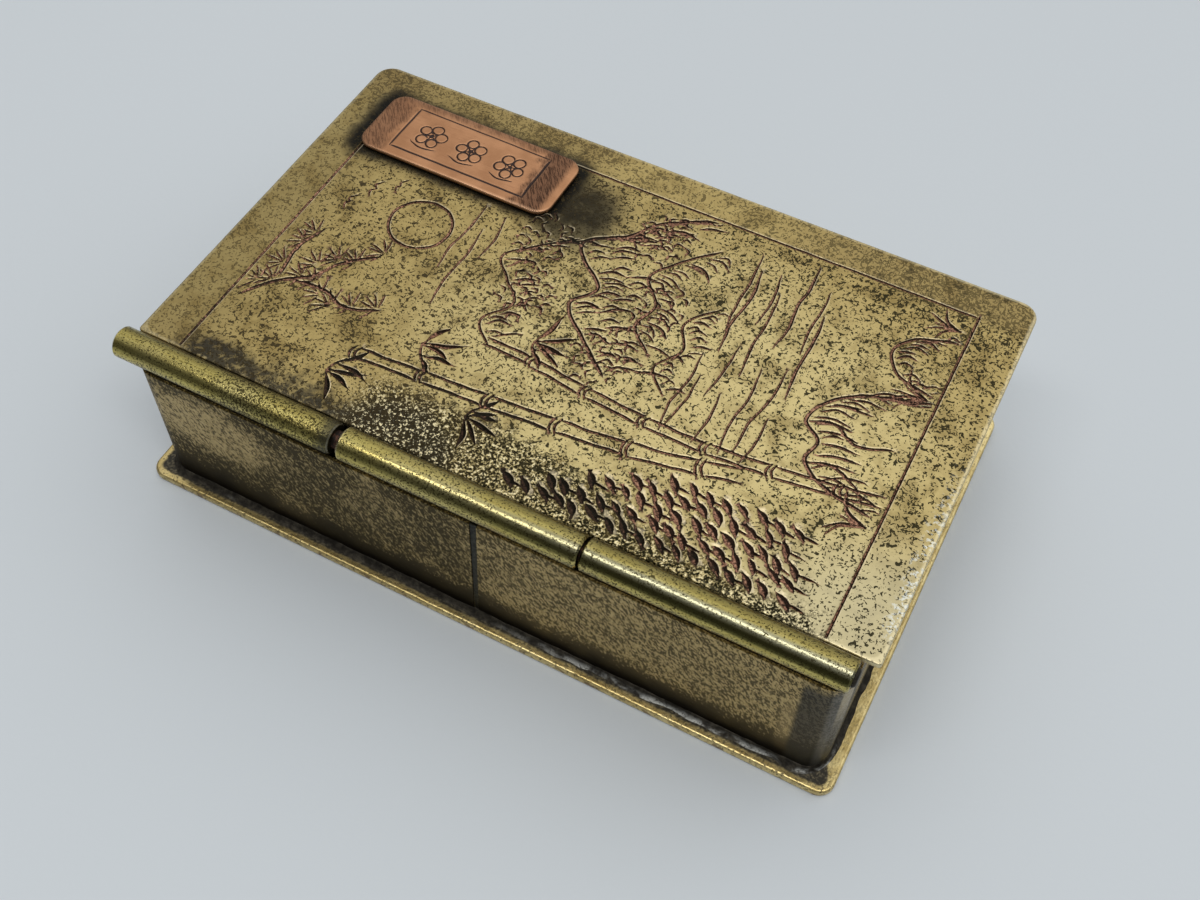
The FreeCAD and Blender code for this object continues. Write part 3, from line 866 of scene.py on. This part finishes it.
class Shader(Nodes):
    """One material's nodes. Its places are millimetres in the box's own frame.

    coat and bump build up the colour and the normal that finish hands over.
    """

    def __init__(self, name, colour):
        self.material = bpy.data.materials.new(name)
        super().__init__(self.material)
        self.colour = colour
        self.normal = None
        place = self.node("TexCoord").outputs["Object"]
        scaled = self.node("VectorMath", {0: place, "Scale": 1 / MM}, operation="SCALE")
        self.place = scaled.outputs[0]
        self.x, self.y, self.z = self.parts(self.place)

    def parts(self, vector):
        outputs = self.node("SeparateXYZ", {0: vector}).outputs
        return [Value(self, output) for output in outputs]

    def math(self, operation, first, second=0.0, clamp=False):
        inputs = {0: first, 1: second}
        node = self.node("Math", inputs, operation=operation, use_clamp=clamp)
        return Value(self, node.outputs[0])

    def vector(self, operation, first, second=(0, 0, 0)):
        return self.node("VectorMath", {0: first, 1: second}, operation=operation).outputs[0]

    def length(self, vector):
        node = self.node("VectorMath", {0: vector}, operation="LENGTH")
        return Value(self, node.outputs["Value"])

    def most(self, first, *others):
        for other in others:
            first = self.math("MAXIMUM", first, other)
        return first

    def mix(self, share, first, second):
        """A colour between the first and the second."""
        return self.node("Mix", {0: share, 6: first, 7: second}, data_type="RGBA").outputs[2]

    def between(self, share, first, second):
        """A number between the first and the second."""
        node = self.node("Mix", {0: share, 2: first, 3: second}, data_type="FLOAT")
        return Value(self, node.outputs[0])

    def moved(self, stretch=(1, 1, 1), shift=(0, 0, 0), turn=None, place=None):
        """The place turned, then stretched and shifted."""
        place = place or self.place
        if turn:
            place = self.node("Mapping", {0: place, "Rotation": turn}).outputs[0]
        return self.node("Mapping", {0: place, "Scale": stretch, "Location": shift}).outputs[0]

    def noise(self, scale, detail=2.0, roughness=0.5, distortion=0.0, place=None):
        """Noise whose humps are about 1 / scale millimetres apart."""
        inputs = {"Vector": place or self.place, "Scale": scale, "Detail": detail}
        inputs.update({"Roughness": roughness, "Distortion": distortion})
        return Value(self, self.node("TexNoise", inputs).outputs[0])

    def curls(self, scale, width, density, shift=0.0):
        """Short curled dashes and rings: broken contour lines of a noise."""
        field = self.noise(scale, 0.6, 0.5, 0.8, self.moved(shift=(shift, 3 * shift, 0)))
        away = self.math("ABSOLUTE", field - 0.5)
        other = self.moved(shift=(9 + shift, 4, shift))
        where = self.noise(scale * 1.5, 0.5, 0.6, 0.3, other)
        open_at = self.between(density, 0.6, 0.4)
        return away.band(width, width * 0.72) * where.band(open_at, open_at + 0.025)

    def blot(self, centre, reach):
        """1 at a place and 0 where it is reach away, along each axis."""
        inverse = tuple(1 / value for value in reach)
        back = tuple(-middle / value for middle, value in zip(centre, reach))
        return self.length(self.moved(inverse, back)).band(1.0, 0.0)

    def edge_distance(self, low, high, radius):
        """Signed distance from a rounded rectangle's outline, negative inside."""
        centre = (*(-(low + high)[:2] / 2), 0)
        half = (*((high - low)[:2] / 2 - radius), 0)
        over = self.vector("ABSOLUTE", self.moved((1, 1, 0), centre))
        over = self.vector("SUBTRACT", over, half)
        x, y, _ = self.parts(over)
        inside = self.math("MINIMUM", self.most(x, y), 0.0)
        return self.length(self.vector("MAXIMUM", over)) + inside - radius

    def stored(self, name):
        """A number that the mesh stores per vertex."""
        return Value(self, self.node("Attribute", attribute_name=name).outputs["Fac"])

    def coat(self, share, colour):
        """Covers a share of the colour so far with another."""
        self.colour = self.mix(share, self.colour, colour)

    def bump(self, height, depth):
        """Adds a relief whose height, from 0 to 1, stands for depth millimetres."""
        inputs = {"Height": height, "Distance": depth * MM, "Strength": 1.0}
        if self.normal:
            inputs["Normal"] = self.normal
        self.normal = self.node("Bump", inputs).outputs[0]

    def finish(self, metallic, roughness):
        inputs = self.nodes["Principled BSDF"].inputs
        self.set(inputs["Base Color"], self.colour)
        self.set(inputs["Metallic"], metallic)
        self.set(inputs["Roughness"], roughness)
        self.set(inputs["Normal"], self.normal)
        return self.material


def pit_marks(s, crowd):
    """Curled pits, small curls and dots; the two smaller kinds thin out at the right front."""
    fewer = s.x.band(8, 24) * s.y.band(14, 2) * 0.16
    small = s.curls(1.5, 0.07, crowd - fewer, 5)
    dots = s.noise(1.9, 1, 0.5, 0.5).band(fewer * 0.2 + 0.67, 0.71)
    return s.most(s.curls(0.82, 0.058, crowd), small * 0.95, dots)


def hinge_stains(s, ragged, front):
    """Smoky stains: a dark band beside the left tube, black at its end, and one at the gap."""
    beside = (s.y - front + ragged).band(5.6, 1.4) * s.x.band(-16, -24)
    black_end = s.blot((-46, front + 1, 29), (11, 6, 6)) + ragged * 0.09
    beside = s.most(beside * (s.x + ragged).band(-56, -50), black_end.band(0.25, 0.6))
    gap = s.blot((-15, front - 1, 29), (15, 13, 9)) + ragged * 0.04
    return beside * s.noise(0.55, 5, 0.72, 0.6).band(0.38, 0.51, 0.4, 1), gap.band(0.08, 0.5)


def plaque_stains(s, ragged, patches):
    """The dark halo round the plaque, and the soot close by it."""
    low, high = box_mm("title_plaque")
    away = s.edge_distance(low, high, 2.0)
    reach = s.between(s.x.band(low[0] + 3, low[0] - 1), 2.4, 4.4)
    end = s.blot((-13, 22, 29), (14, 15, 9)) + ragged * 0.05
    halo = s.most((away + ragged * 0.3).band(reach, 0.4), end.band(0.1, 0.8, 0, 0.8))
    ends = s.most(s.x.band(low[0] + 4, low[0]), s.x.band(high[0] - 2, high[0]))
    soot = (away + ragged * 0.25).band(3.8, 0.9) * (ends * 0.65 + 0.3)
    smear = end.band(0.4, 0.95, 0, 0.8) * patches.band(0.38, 0.52, 0.5, 1)
    return halo, s.most(soot, smear)


def groove_colour(s, cut, far, darkened):
    """The floor of the engraved lines: red-brown and flecked, with painted shade: darker up the
    walls and black on the far side.
    """
    flecks = s.noise(2.8, 2, 0.6)
    # Darker up the groove walls than on the floor: painted shade.
    floor = s.mix(cut.band(0.2, 0.8), (0.12, 0.064, 0.042), (0.34, 0.17, 0.108))
    floor = s.mix(flecks.band(0.47, 0.38, 0, 0.75), floor, (0.60, 0.34, 0.22))
    floor = s.mix(flecks.band(0.52, 0.60, 0, 0.85), floor, (0.03, 0.018, 0.012))
    # Painted shade: the far side of the groove near black.
    floor = s.mix(far * 0.95, floor, (0.012, 0.007, 0.005))
    tarnish = s.noise(1.3, 3, 0.6) + darkened * 0.3
    tarnish += s.x.band(24, 0) * s.y.band(-10, -20) * 0.2
    return s.mix(tarnish.band(0.55, 0.7, 0, 0.85), floor, (0.018, 0.016, 0.011))


def engraved_brass():
    """The lid: pale olive brass with curled pits, dark stains, red-brown lines, rubbed edges, and
    painted light: a broad sheen over the middle, a glare at the right front, and lit and shaded
    groove sides.
    """
    s = Shader("engraved_brass", GOLD_BRASS)
    x, y = s.x, s.y
    low, high = box_mm("lid_plate")
    cut, burr = s.stored("cut"), s.stored("burr")
    patches = s.noise(0.16, 4, 0.62, 0.4)
    ragged = (s.noise(0.5, 4, 0.65) - 0.5) * 9
    slow = (s.noise(0.045, 3, 0.6) - 0.5) * 60
    back_margin = y.band(30.5, 33)
    back_dark = back_margin * s.most(x.band(8, 36), x.band(-8, -20))
    # Where the lid gets a painted glare: a pale, cooler patch at the right front where the light
    # reflects.
    glare = s.blot((58, -30, 29), (34, 30, 20)).band(0.1, 0.9)

    # how thickly the pits lie: thickest at the back of the right end, and few in the glare
    crowd = (y + slow).band(6, 36) * (x + slow).band(8, 50) * 0.44
    crowd += patches.band(0.45, 0.68) * 0.5
    crowd += s.blot((-5, 1, 29), (24, 20, 12)) * 0.2
    crowd = s.math("ADD", crowd, 0.08, clamp=True)
    crowd *= 1 - s.blot((4, 32, 29), (14, 7, 9)) * 0.8
    crowd = (crowd + back_dark * 0.4) * (1 - glare * 0.9)
    marks = pit_marks(s, crowd)
    blots = s.noise(0.62, 3, 0.65, 0.6).band(0.55, 0.66) * crowd.band(0.35, 0.85)
    mottle = (x + slow).band(-14, -44) * 0.2 + 0.15
    mottle = s.math("ADD", crowd * 0.7, mottle, clamp=True) * patches.band(0.46, 0.62)

    hinge_stain, gap_stain = hinge_stains(s, ragged, low[1])
    halo, soot = plaque_stains(s, ragged, patches)
    stain = s.most(hinge_stain, gap_stain, halo)
    grains = s.noise(2.6, 3, 0.6, 0.4)
    from_hinge = y - low[1] + ragged
    granular = (from_hinge + x.band(-5, 40, 0, 7)).band(12.5, 6) * x.band(-27, -18)
    granular *= (x + ragged).band(56, 44)
    gritty = s.most(granular, gap_stain * 0.8)
    grain_marks = grains.band(0.52, 0.45) * granular.band(0.1, 0.6)

    # Paler over the middle and right of the lid: a broad painted sheen.
    pale = s.blot((20, -6, 29), (72, 52, 60)) + slow * 0.006
    s.coat(pale.band(0.1, 0.75), PALE_BRASS)
    s.coat(x.band(-42, -56, 0, 0.55), (0.27, 0.205, 0.085))
    s.coat(s.noise(0.3, 3, 0.6, 0.5).band(0.45, 0.7, 0, 0.4), BROWN_BRASS)
    s.coat(mottle * 0.9, BROWN_BRASS)
    s.coat(back_dark * 0.6, (0.30, 0.215, 0.085))
    s.coat(blots * 0.75, (0.085, 0.065, 0.03))
    s.coat(stain * 0.9, (0.031, 0.031, 0.029))
    s.coat(soot, (0.012, 0.011, 0.009))
    # The painted glare's colour.
    s.coat(glare * 0.42, (0.68, 0.65, 0.46))
    # Pale gold grains in the gritty zone: bare brass with painted glints.
    s.coat(grains.band(0.55, 0.62) * gritty * 0.95, (0.94, 0.82, 0.50))
    faint = s.most(x.band(-48, -54), back_margin)
    pitted = s.most(marks * s.between(faint, 0.95, 0.6), grain_marks)
    s.coat(pitted, s.mix(x.band(12, -22), (0.026, 0.023, 0.011), (0.062, 0.046, 0.022)))

    # Painted light on the grooves: a painted highlight on the burr along each groove's far side,
    # painted shade on the burr along its near side.
    far = s.stored("side").band(0.5, 0.3)
    s.coat(burr * far, (1.0, 0.84, 0.56))
    s.coat(burr * (1 - far) * 0.7, BROWN_BRASS)
    s.coat(cut.band(0.04, 0.3), groove_colour(s, cut, far, s.most(stain, granular)))
    wear_and_sheen = (s.edge_distance(low, high, 2.4) + ragged * 0.06).band(-0.75, -0.3)
    wear_and_sheen *= 1 - s.most(hinge_stain, granular, gap_stain)
    s.coat(wear_and_sheen * x.band(25, 56, 0.25, 0.5), CREAM_BRASS)
    frost = (x + ragged * 0.3).band(57.4, 58.8) * y.band(8, -14) * y.band(-28.5, -24)
    s.coat(frost * s.noise(1.6, 3, 0.6).band(0.5, 0.6) * 0.65, (0.84, 0.88, 0.84))

    s.bump(1 - pitted, 0.08)
    s.bump(s.noise(0.6, 4, 0.6), 0.09)
    s.bump(grains * (gritty + 0.15), 0.18)
    dull = s.most(cut.band(0.06, 0.45), pitted, s.most(stain, blots) * 0.6)
    roughness = s.between(s.noise(0.8, 3), 0.34, 0.48) + dull * 0.15
    return s.finish(1 - cut.band(0.06, 0.45, 0, 0.05), roughness)


def speckled_brass():
    """The wall: dark gold-brown brass under a dense fine speckle, nearly black at its foot."""
    s = Shader("speckled_brass", (0.26, 0.19, 0.07))
    x, y, z = s.x, s.y, s.z
    low, high = box_mm("wall_band")
    front, end = low[1], high[0]
    slant = s.moved((1, 1, 0.5), turn=(0, math.radians(32), 0))
    fine = s.noise(3.1, 2, 0.6, 0.2, slant)
    streaks = s.noise(1, 3, 0.6, 0, s.moved((0.14, 0.14, 2.6)))
    lumpy = (s.noise(0.2) - 0.5) * 5
    foot = (z + lumpy).band(10.5, 2.5)
    high_up = z.band(27.5, 24.5)
    hinge_side = (y + lumpy).band(front + 14, front + 6)
    right = x.band(-6, 12)
    end_patch = s.blot((-46, front, 19), (20, 12, 11)).band(0.1, 0.7)
    bare = s.most(s.noise(0.075).band(0.46, 0.64) * 0.7, end_patch, right * 0.6)
    dark_share = s.between(bare, 0.55, 0.45) + foot * 0.3
    specks = fine.band(dark_share + 0.015, dark_share - 0.015)
    flecks = s.noise(1.5, 2, 0.6, 0.5, slant).band(0.40, 0.37)
    specks = s.most(specks, flecks * (right * 0.75 + 0.25))

    s.coat(bare, (0.46, 0.335, 0.135))
    s.coat(right * 0.3, (0.66, 0.49, 0.21))
    s.coat(streaks.band(0.54, 0.66) * (right * 0.5 + 0.1), (0.64, 0.50, 0.24))
    s.coat(fine.band(0.6, 0.7) * 0.4, (0.70, 0.55, 0.28))
    s.coat(specks * s.between(bare, 0.84, 0.74), (0.026, 0.02, 0.009))
    stripe = x.band(end - 8.6, end - 7) * z.band(24, 16) * hinge_side
    s.coat(stripe * 0.45, (0.46, 0.34, 0.16))
    s.coat(foot * 0.97, (0.008, 0.006, 0.004))
    # Dark vertical bands at the wall's ends on the hinge side; at the right end this is painted
    # shade on the rounded corner.
    right_end = x.band(end - 6.4, end - 5.4) * hinge_side
    left_end = x.band(low[0] + 2.6, low[0] + 1, 0, 0.6) * hinge_side
    s.coat(s.most(right_end, left_end) * high_up * 0.88, (0.036, 0.033, 0.025))
    # A grey painted highlight on the curve of the wall's right corner.
    bend = x.strip(end - 2.2, end - 1.4, end - 0.9, end - 0.5) * hinge_side * high_up
    s.coat(bend * 0.22, (0.32, 0.31, 0.28))
    # A pale streak down the wall's right corner: a painted highlight over worn brass.
    wear_and_sheen = x.band(end - 0.9, end - 0.6) * z.band(10, 24) * y.band(front + 6, front + 3)
    s.coat(wear_and_sheen * 0.8, (0.50, 0.42, 0.28))
    top = z.band(high[2] - 0.5, high[2] - 0.1)
    s.coat(top * 0.9, (0.80, 0.62, 0.42))

    s.bump(1 - specks, 0.05)
    s.bump(s.noise(0.25), 0.15)
    roughness = s.between(bare, 0.46, 0.36) + s.most(specks, foot) * 0.15
    return s.finish(1 - top * 0.5, roughness)


def base_brass():
    """The base plate: a dark rough ledge with a bright worn edge."""
    s = Shader("base_brass", (0.035, 0.03, 0.02))
    low, high = box_mm("base_plate")
    fine = s.noise(2.2, 3, 0.62, 0.3)
    broad = s.noise(0.35, 3, 0.6)
    right = s.x.band(high[0] - 4, high[0] - 3) * s.y.band(low[1] + 2, low[1] + 5)
    distance = s.edge_distance(low, high, 2.5) + right * 0.9
    edge = (distance + (broad - 0.5)).band(-1.35, -0.85)
    specks = fine.band(0.46, 0.38)
    rust = s.noise(0.5, 3, 0.6, 0.4).band(0.54, 0.62) * s.z.band(1.4, 1)
    bright = s.mix(broad.band(0.35, 0.65), (0.60, 0.46, 0.19), (0.80, 0.65, 0.31))
    bright = s.mix(s.x.band(10, -30, 0, 0.5), bright, (0.46, 0.34, 0.13))
    bright = s.mix(specks * s.between(right, 0.75, 0.3), bright, (0.06, 0.045, 0.025))
    bright = s.mix(rust * 0.75, bright, (0.15, 0.075, 0.035))
    s.coat(fine.band(0.45, 0.68), (0.15, 0.125, 0.075))
    s.coat(edge, bright)
    s.coat(s.z.band(0.5, 0.1) * 0.7, (0.12, 0.08, 0.04))
    dull = s.most(1 - edge, specks * 0.7)
    s.bump(fine, 0.05)
    s.bump(broad, 0.12)
    return s.finish(1 - dull * 0.5, dull * 0.25 + 0.34)


def barrel_brass():
    """The hinge tubes: yellow brass, smooth at the ends and granular towards the gap, with
    painted bands of highlight, dark reflection and shade along them.
    """
    s = Shader("barrel_brass", YELLOW_BRASS)
    x, y, z = s.x, s.y, s.z
    low, high = box_mm("middle_knuckle")
    axis_y, axis_z = (low[1:] + high[1:]) / 2
    end = low[0]
    drawn = s.noise(1, 3, 0.6, 0, s.moved((0.12, 2.6, 2.6)))
    fine = s.noise(3.2, 2, 0.6, 0.4)
    clouds = s.noise(0.12)
    below = z.band(axis_z + 0.9, axis_z - 0.9)
    grainy = x.strip(-52, -33, -26, -15)
    share = below * 0.10 + grainy * 0.08 + clouds.band(0.4, 0.7, 0, 0.05) + 0.38
    specks = s.most(fine.band(share + 0.02, share - 0.02), s.noise(3.6, 1).band(0.62, 0.66))

    s.coat(drawn.band(0.35, 0.65), (0.44, 0.35, 0.10))
    s.coat(clouds.band(0.45, 0.7, 0, 0.5), (0.60, 0.51, 0.22))
    # A painted highlight tint: greyer and whiter where the lamp's highlight falls, most on the
    # right tube.
    painted_highlight_tint = z.band(axis_z + 1.5, axis_z + 2.1) * y.band(axis_y - 0.1, axis_y - 0.8)
    s.coat(painted_highlight_tint * x.band(-22, 30, 0.1, 0.8), (0.29, 0.29, 0.215))
    # A painted dark reflection band below the highlight, standing in for the dim room the tubes
    # reflect.
    painted_dark_reflection = z.strip(axis_z + 0.6, axis_z + 1.1, axis_z + 1.7, axis_z + 2.1)
    s.coat(painted_dark_reflection * x.band(-22, 30, 0.5, 0.93), (0.06, 0.056, 0.018))
    # Painted shade on the upper back of the tubes, towards the lid.
    above = y.band(axis_y - 0.7, axis_y + 0.6)
    s.coat(above * x.band(-20, 20, 0.5, 0.72), (0.18, 0.145, 0.045))
    rust = s.blot((5, low[1] + 0.8, axis_z - 0.6), (7, 1.6, 2))
    rust += fine.band(0.3, 0.7, -0.3, 0.3)
    s.coat(rust.band(0.3, 0.9, 0, 0.7), (0.30, 0.13, 0.04))
    s.coat(specks * 0.9, (0.035, 0.028, 0.01))
    gap = x.strip(end - 4.4, end - 2, end - 0.5, end)
    s.coat(gap * 0.8, (0.06, 0.055, 0.035))
    # A painted highlight: a thin pale ring near the left tube's end at the gap.
    rim = x.strip(end - 1.6, end - 1.52, end - 1.42, end - 1.34)
    s.coat(rim * 0.2, (0.5, 0.48, 0.4))
    own_end = x.strip(end - 0.3, end - 0.1, end + 0.1, end + 0.5)
    s.coat(own_end * 0.7, CREAM_BRASS)

    s.bump(fine * (grainy * 0.7 + below * 0.3 + 0.22), 0.08)
    s.bump(drawn, 0.015)
    s.bump(s.noise(0.35), 0.05)
    return s.finish(1.0, s.between(grainy, 0.18, 0.34) + specks * 0.2)


def inner_brass():
    """The slate's frame: brushed brass, spotted with ink."""
    s = Shader("inner_brass", (0.5, 0.41, 0.17))
    brushed = s.noise(1, 3, 0.65, 0, s.moved((0.15, 5, 5)))
    spots = s.noise(0.3, 4, 0.6, 0.5)
    s.coat(brushed, (0.68, 0.58, 0.28))
    s.coat(spots.band(0.56, 0.66, 0, 0.9), (0.03, 0.028, 0.026))
    s.bump(brushed, 0.015)
    return s.finish(1.0, s.between(spots.band(0.56, 0.66), 0.3, 0.6))


def plaque_copper():
    """The plaque: satin pink copper, darker and hatched at its ends, with a bright rim that is
    partly a painted highlight, and painted shade low on its sides.
    """
    s = Shader("plaque_copper", (0.42, 0.205, 0.10))
    low, high = box_mm("title_plaque")
    end = (high - low)[0] / 2
    local = s.moved(shift=(*(-(low + high)[:2] / 2), 0))
    along = s.parts(local)[0]
    ragged = (s.noise(0.5, 3) - 0.5) * 5
    right = (along + ragged).band(end - 7.4, end - 5) * along.band(end - 0.9, end - 2.2)
    left = (along + ragged).band(6 - end, 3 - end)
    back = (s.y + ragged * 0.6).band(high[1] - 2.2, high[1])
    ends = s.most(right, left * 0.65, back * 0.55)
    leaning = s.moved((7, 0.6, 1), turn=(0, 0, math.radians(-38)), place=local)
    scratch = s.noise(1, 2, 0.6, 0, leaning).band(0.52, 0.4) * ends
    satin = s.noise(1, 3, 0.6, 0, s.moved((0.25, 3.4, 1), place=local))
    clouds = s.noise(0.22, 3, 0.55)

    s.coat(clouds.band(0.3, 0.7), (0.54, 0.275, 0.14))
    s.coat(satin.band(0.5, 0.75) * 0.4, (0.34, 0.155, 0.08))
    s.coat(ends * 0.8, (0.14, 0.07, 0.042))
    s.coat(scratch * 0.7, (0.05, 0.026, 0.018))
    # A bright band just inside the rim: worn copper all round, with a painted highlight added on
    # the lit right end and front edge.
    edge = s.edge_distance(low, high, 2.6) - 0.45
    lit_side = s.most(along.band(end - 3, end - 1), s.y.band(low[1] + 3, low[1] + 1))
    s.coat(edge.band(-0.8, -0.2) * (lit_side * 0.35 + 0.1), (0.86, 0.52, 0.31))
    s.coat(s.stored("burr") * 0.3, (0.80, 0.48, 0.28))
    cut = s.stored("cut").band(0.08, 0.5)
    s.coat(cut, (0.045, 0.026, 0.022))
    # Painted shade: darker low on the plaque's sides, where it meets the lid.
    s.coat(s.z.band(high[2] - 0.45, high[2] - 0.75) * 0.65, (0.09, 0.045, 0.03))

    s.bump(1 - scratch, 0.03)
    s.bump(satin, 0.008)
    roughness = s.between(clouds, 0.34, 0.44) + s.most(cut, scratch) * 0.25
    return s.finish(1 - cut * 0.4, roughness)


def tray_copper():
    """The liner tray: dull copper, blackened where the ink has stood."""
    s = Shader("tray_copper", (0.44, 0.21, 0.12))
    top = box_mm("ink_tray")[1][2]
    drawn = s.noise(1, 3, 0.6, 0, s.moved((3, 3, 0.3)))
    spots = s.noise(0.18, 5, 0.62, 0.6)
    depth = (s.z + spots * 7).band(top + 1, top - 5)
    s.coat(drawn, (0.62, 0.34, 0.21))
    s.coat(depth * 0.93, (0.02, 0.018, 0.018))
    s.bump(spots, 0.05)
    return s.finish(1 - depth * 0.7, s.between(depth, 0.36, 0.55))


def solder_grey():
    """Old solder: dark grey-brown and lumpy, with pale smears where it is bare."""
    s = Shader("solder_grey", (0.016, 0.013, 0.009))
    lumps = s.noise(0.9, 3, 0.6, 0.3)
    fine = s.noise(3.2, 2, 0.6)
    smear = s.noise(0.5, 3, 0.6, 0.4, s.moved((0.5, 0.5, 1)))
    bare = s.x.band(2, 24) * s.y.band(-28, -33)
    bare = s.most(bare, s.noise(0.06).band(0.56, 0.7, 0, 0.6))
    film = s.z.band(2.05, 1.6) * bare * smear.band(0.38, 0.58)
    s.coat(lumps.band(0.35, 0.7), (0.055, 0.047, 0.034))
    s.coat(film * 0.8, (0.44, 0.44, 0.41))
    s.coat(fine.band(0.46, 0.36, 0, 0.7), (0.02, 0.017, 0.012))
    s.bump(lumps, 0.12)
    s.bump(fine, 0.03)
    return s.finish(0.75, s.between(fine, 0.62, 0.5))


def seam_grey():
    """The wall's joint: dark greenish grey solder, a little paler along its left side as a
    painted highlight on the lapped edge.
    """
    s = Shader("seam_grey", (0.010, 0.010, 0.007))
    left = box_mm("wall_seam_solder")[0][0]
    fine = s.noise(3, 2, 0.6)
    s.coat(fine.band(0.35, 0.65), (0.045, 0.043, 0.032))
    # Painted highlight along the seam's left side, where the lapped sheet's edge stands proud.
    s.coat((s.x + fine * 0.3).band(left + 0.4, left + 0.2) * 0.7, (0.30, 0.25, 0.14))
    s.bump(fine, 0.05)
    return s.finish(1.0, s.between(fine, 0.55, 0.42))


def dark_wire():
    """The pin: steel wire gone brown."""
    s = Shader("dark_wire", (0.02, 0.015, 0.012))
    rust = s.noise(1.4, 4, 0.65)
    s.coat(rust.band(0.4, 0.65), (0.12, 0.055, 0.035))
    s.bump(rust, 0.03)
    return s.finish(0.8, s.between(rust, 0.35, 0.7))


def bedding_cement():
    s = Shader("bedding_cement", (0.02, 0.016, 0.013))
    grit = s.noise(2.2, 4, 0.7)
    s.coat(grit, (0.1, 0.08, 0.065))
    s.bump(grit, 0.08)
    return s.finish(0.0, 0.8)


def honed_slate():
    """The thin inkstone: honed black slate with fine cleavage lines and dried ink."""
    s = Shader("honed_slate", (0.035, 0.036, 0.04))
    cleavage = s.moved((0.3, 2.4, 1), turn=(0, 0, math.radians(12)))
    grain = s.noise(1, 5, 0.65, 0, cleavage)
    ink = s.noise(0.07, 4, 0.55, 0.7).band(0.5, 0.66)
    s.coat(grain.band(0.35, 0.7), (0.085, 0.086, 0.092))
    s.coat(s.noise(4, 3, 0.7).band(0.6, 0.72, 0, 0.3), (0.2, 0.2, 0.21))
    s.coat(ink * 0.7, (0.012, 0.012, 0.014))
    s.bump(grain, 0.02)
    return s.finish(0.0, s.between(ink, 0.52, 0.24))


def inked_floss():
    """Silk floss soaked in ink: matted black strands with a wet sheen."""
    s = Shader("inked_floss", (0.006, 0.006, 0.008))
    lengthwise = s.moved((0.7, 3.2, 1.4), turn=(0, 0, math.radians(9)))
    crosswise = s.moved((2.6, 0.8, 1.4), turn=(0, 0, math.radians(-16)))
    strands = s.noise(1, 4, 0.65, 0.8, lengthwise)
    others = s.noise(1, 3, 0.6, 0.5, crosswise)
    s.coat(strands.band(0.4, 0.68), (0.035, 0.036, 0.042))
    s.coat(others.band(0.6, 0.72, 0, 0.5), (0.075, 0.075, 0.085))
    s.bump(strands, 0.5)
    s.bump(others, 0.3)
    return s.finish(0.0, s.between(s.noise(0.12, 3).band(0.42, 0.6), 0.75, 0.38))


def pale_floor():
    s = Shader("pale_floor", (0.61, 0.65, 0.68))
    s.coat(s.noise(0.004), (0.64, 0.68, 0.71))
    s.bump(s.noise(0.9, 3), 0.02)
    return s.finish(0.0, 0.65)


def dress(material, *nodes):
    """Gives carried-over CAD nodes a finish."""
    for node in nodes:
        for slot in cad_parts[node].material_slots:
            slot.material = material


# Studio


def make_camera():
    camera = bpy.data.cameras.new("camera")
    camera.sensor_width = CAMERA_SENSOR
    camera.lens = CAMERA_LENS
    camera.clip_start = CAMERA_NEAR
    holder = add_object("camera", camera)
    turn = Matrix((CAMERA_RIGHT, CAMERA_UP, CAMERA_BACK)).transposed()
    holder.matrix_world = Matrix.Translation(Vector(CAMERA_PLACE) * MM) @ turn.to_4x4()
    bpy.context.scene.camera = holder


def make_lamp():
    """A soft rectangular light aimed at the box, its length along X."""
    light = bpy.data.lights.new("lamp", "AREA")
    light.shape = "RECTANGLE"
    light.size = LAMP_LENGTH
    light.size_y = LAMP_WIDTH
    light.energy = LAMP_POWER
    light.color = LAMP_COLOUR
    holder = add_object("lamp", light)
    holder.location = LAMP_PLACE
    holder.rotation_euler = (-Vector(LAMP_PLACE)).to_track_quat("-Z", "Y").to_euler()


def make_sky():
    """Soft room light: bright behind and overhead, dim in front; the camera sees pale grey."""
    world = bpy.data.worlds.new("room")
    bpy.context.scene.world = world
    sky = Nodes(world)
    sky.nodes.clear()
    direction = sky.node("TexCoord").outputs["Generated"]
    towards = sky.node("VectorMath", {0: direction, 1: SKY_AXIS}, operation="DOT_PRODUCT")
    inputs = {"Value": towards.outputs["Value"], "From Min": SKY_START}
    rise = sky.node("MapRange", inputs, interpolation_type="SMOOTHSTEP").outputs["Result"]
    blend = sky.node("Mix", {0: rise, 6: SKY_DIM, 7: SKY_BRIGHT}, data_type="RGBA")
    lit = sky.node("Background", {"Color": blend.outputs[2]})
    seen = sky.node("Background", {"Color": SKY_SEEN})
    by_camera = sky.node("LightPath").outputs["Is Camera Ray"]
    pick = sky.node("MixShader", {0: by_camera, 1: lit.outputs[0], 2: seen.outputs[0]})
    sky.node("OutputWorld", {"Surface": pick.outputs[0]})


def make_floor(material):
    corners = [(-FLOOR_HALF, -FLOOR_HALF, 0), (FLOOR_HALF, -FLOOR_HALF, 0)]
    corners += [(FLOOR_HALF, FLOOR_HALF, 0), (-FLOOR_HALF, FLOOR_HALF, 0)]
    mesh = bpy.data.meshes.new("floor")
    mesh.from_pydata(corners, [], [(0, 1, 2, 3)])
    mesh.materials.append(material)
    floor = add_object("floor", mesh)


def main():
    bpy.context.scene.view_settings.view_transform = "Standard"
    make_camera()
    make_sky()
    make_floor(pale_floor())
    make_lamp()
    solder = solder_grey()
    dress(base_brass(), "base_plate")
    dress(speckled_brass(), "wall_band")
    dress(seam_grey(), "wall_seam_solder")
    dress(barrel_brass(), "left_knuckle", "middle_knuckle", "right_knuckle")
    dress(solder, "left_knuckle_solder", "right_knuckle_solder", "lid_knuckle_solder")
    dress(solder, "pin_end_solder", "plaque_solder", "slate_frame_solder")
    dress(dark_wire(), "hinge_pin")
    dress(inner_brass(), "slate_frame")
    dress(bedding_cement(), "slate_bedding")
    dress(honed_slate(), "slate_plate")
    dress(tray_copper(), "ink_tray")
    make_lid(engraved_brass())
    make_plaque(plaque_copper())
    make_foot_solder(solder)
    make_floss(inked_floss())


main()
bpy.context.view_layer.update()
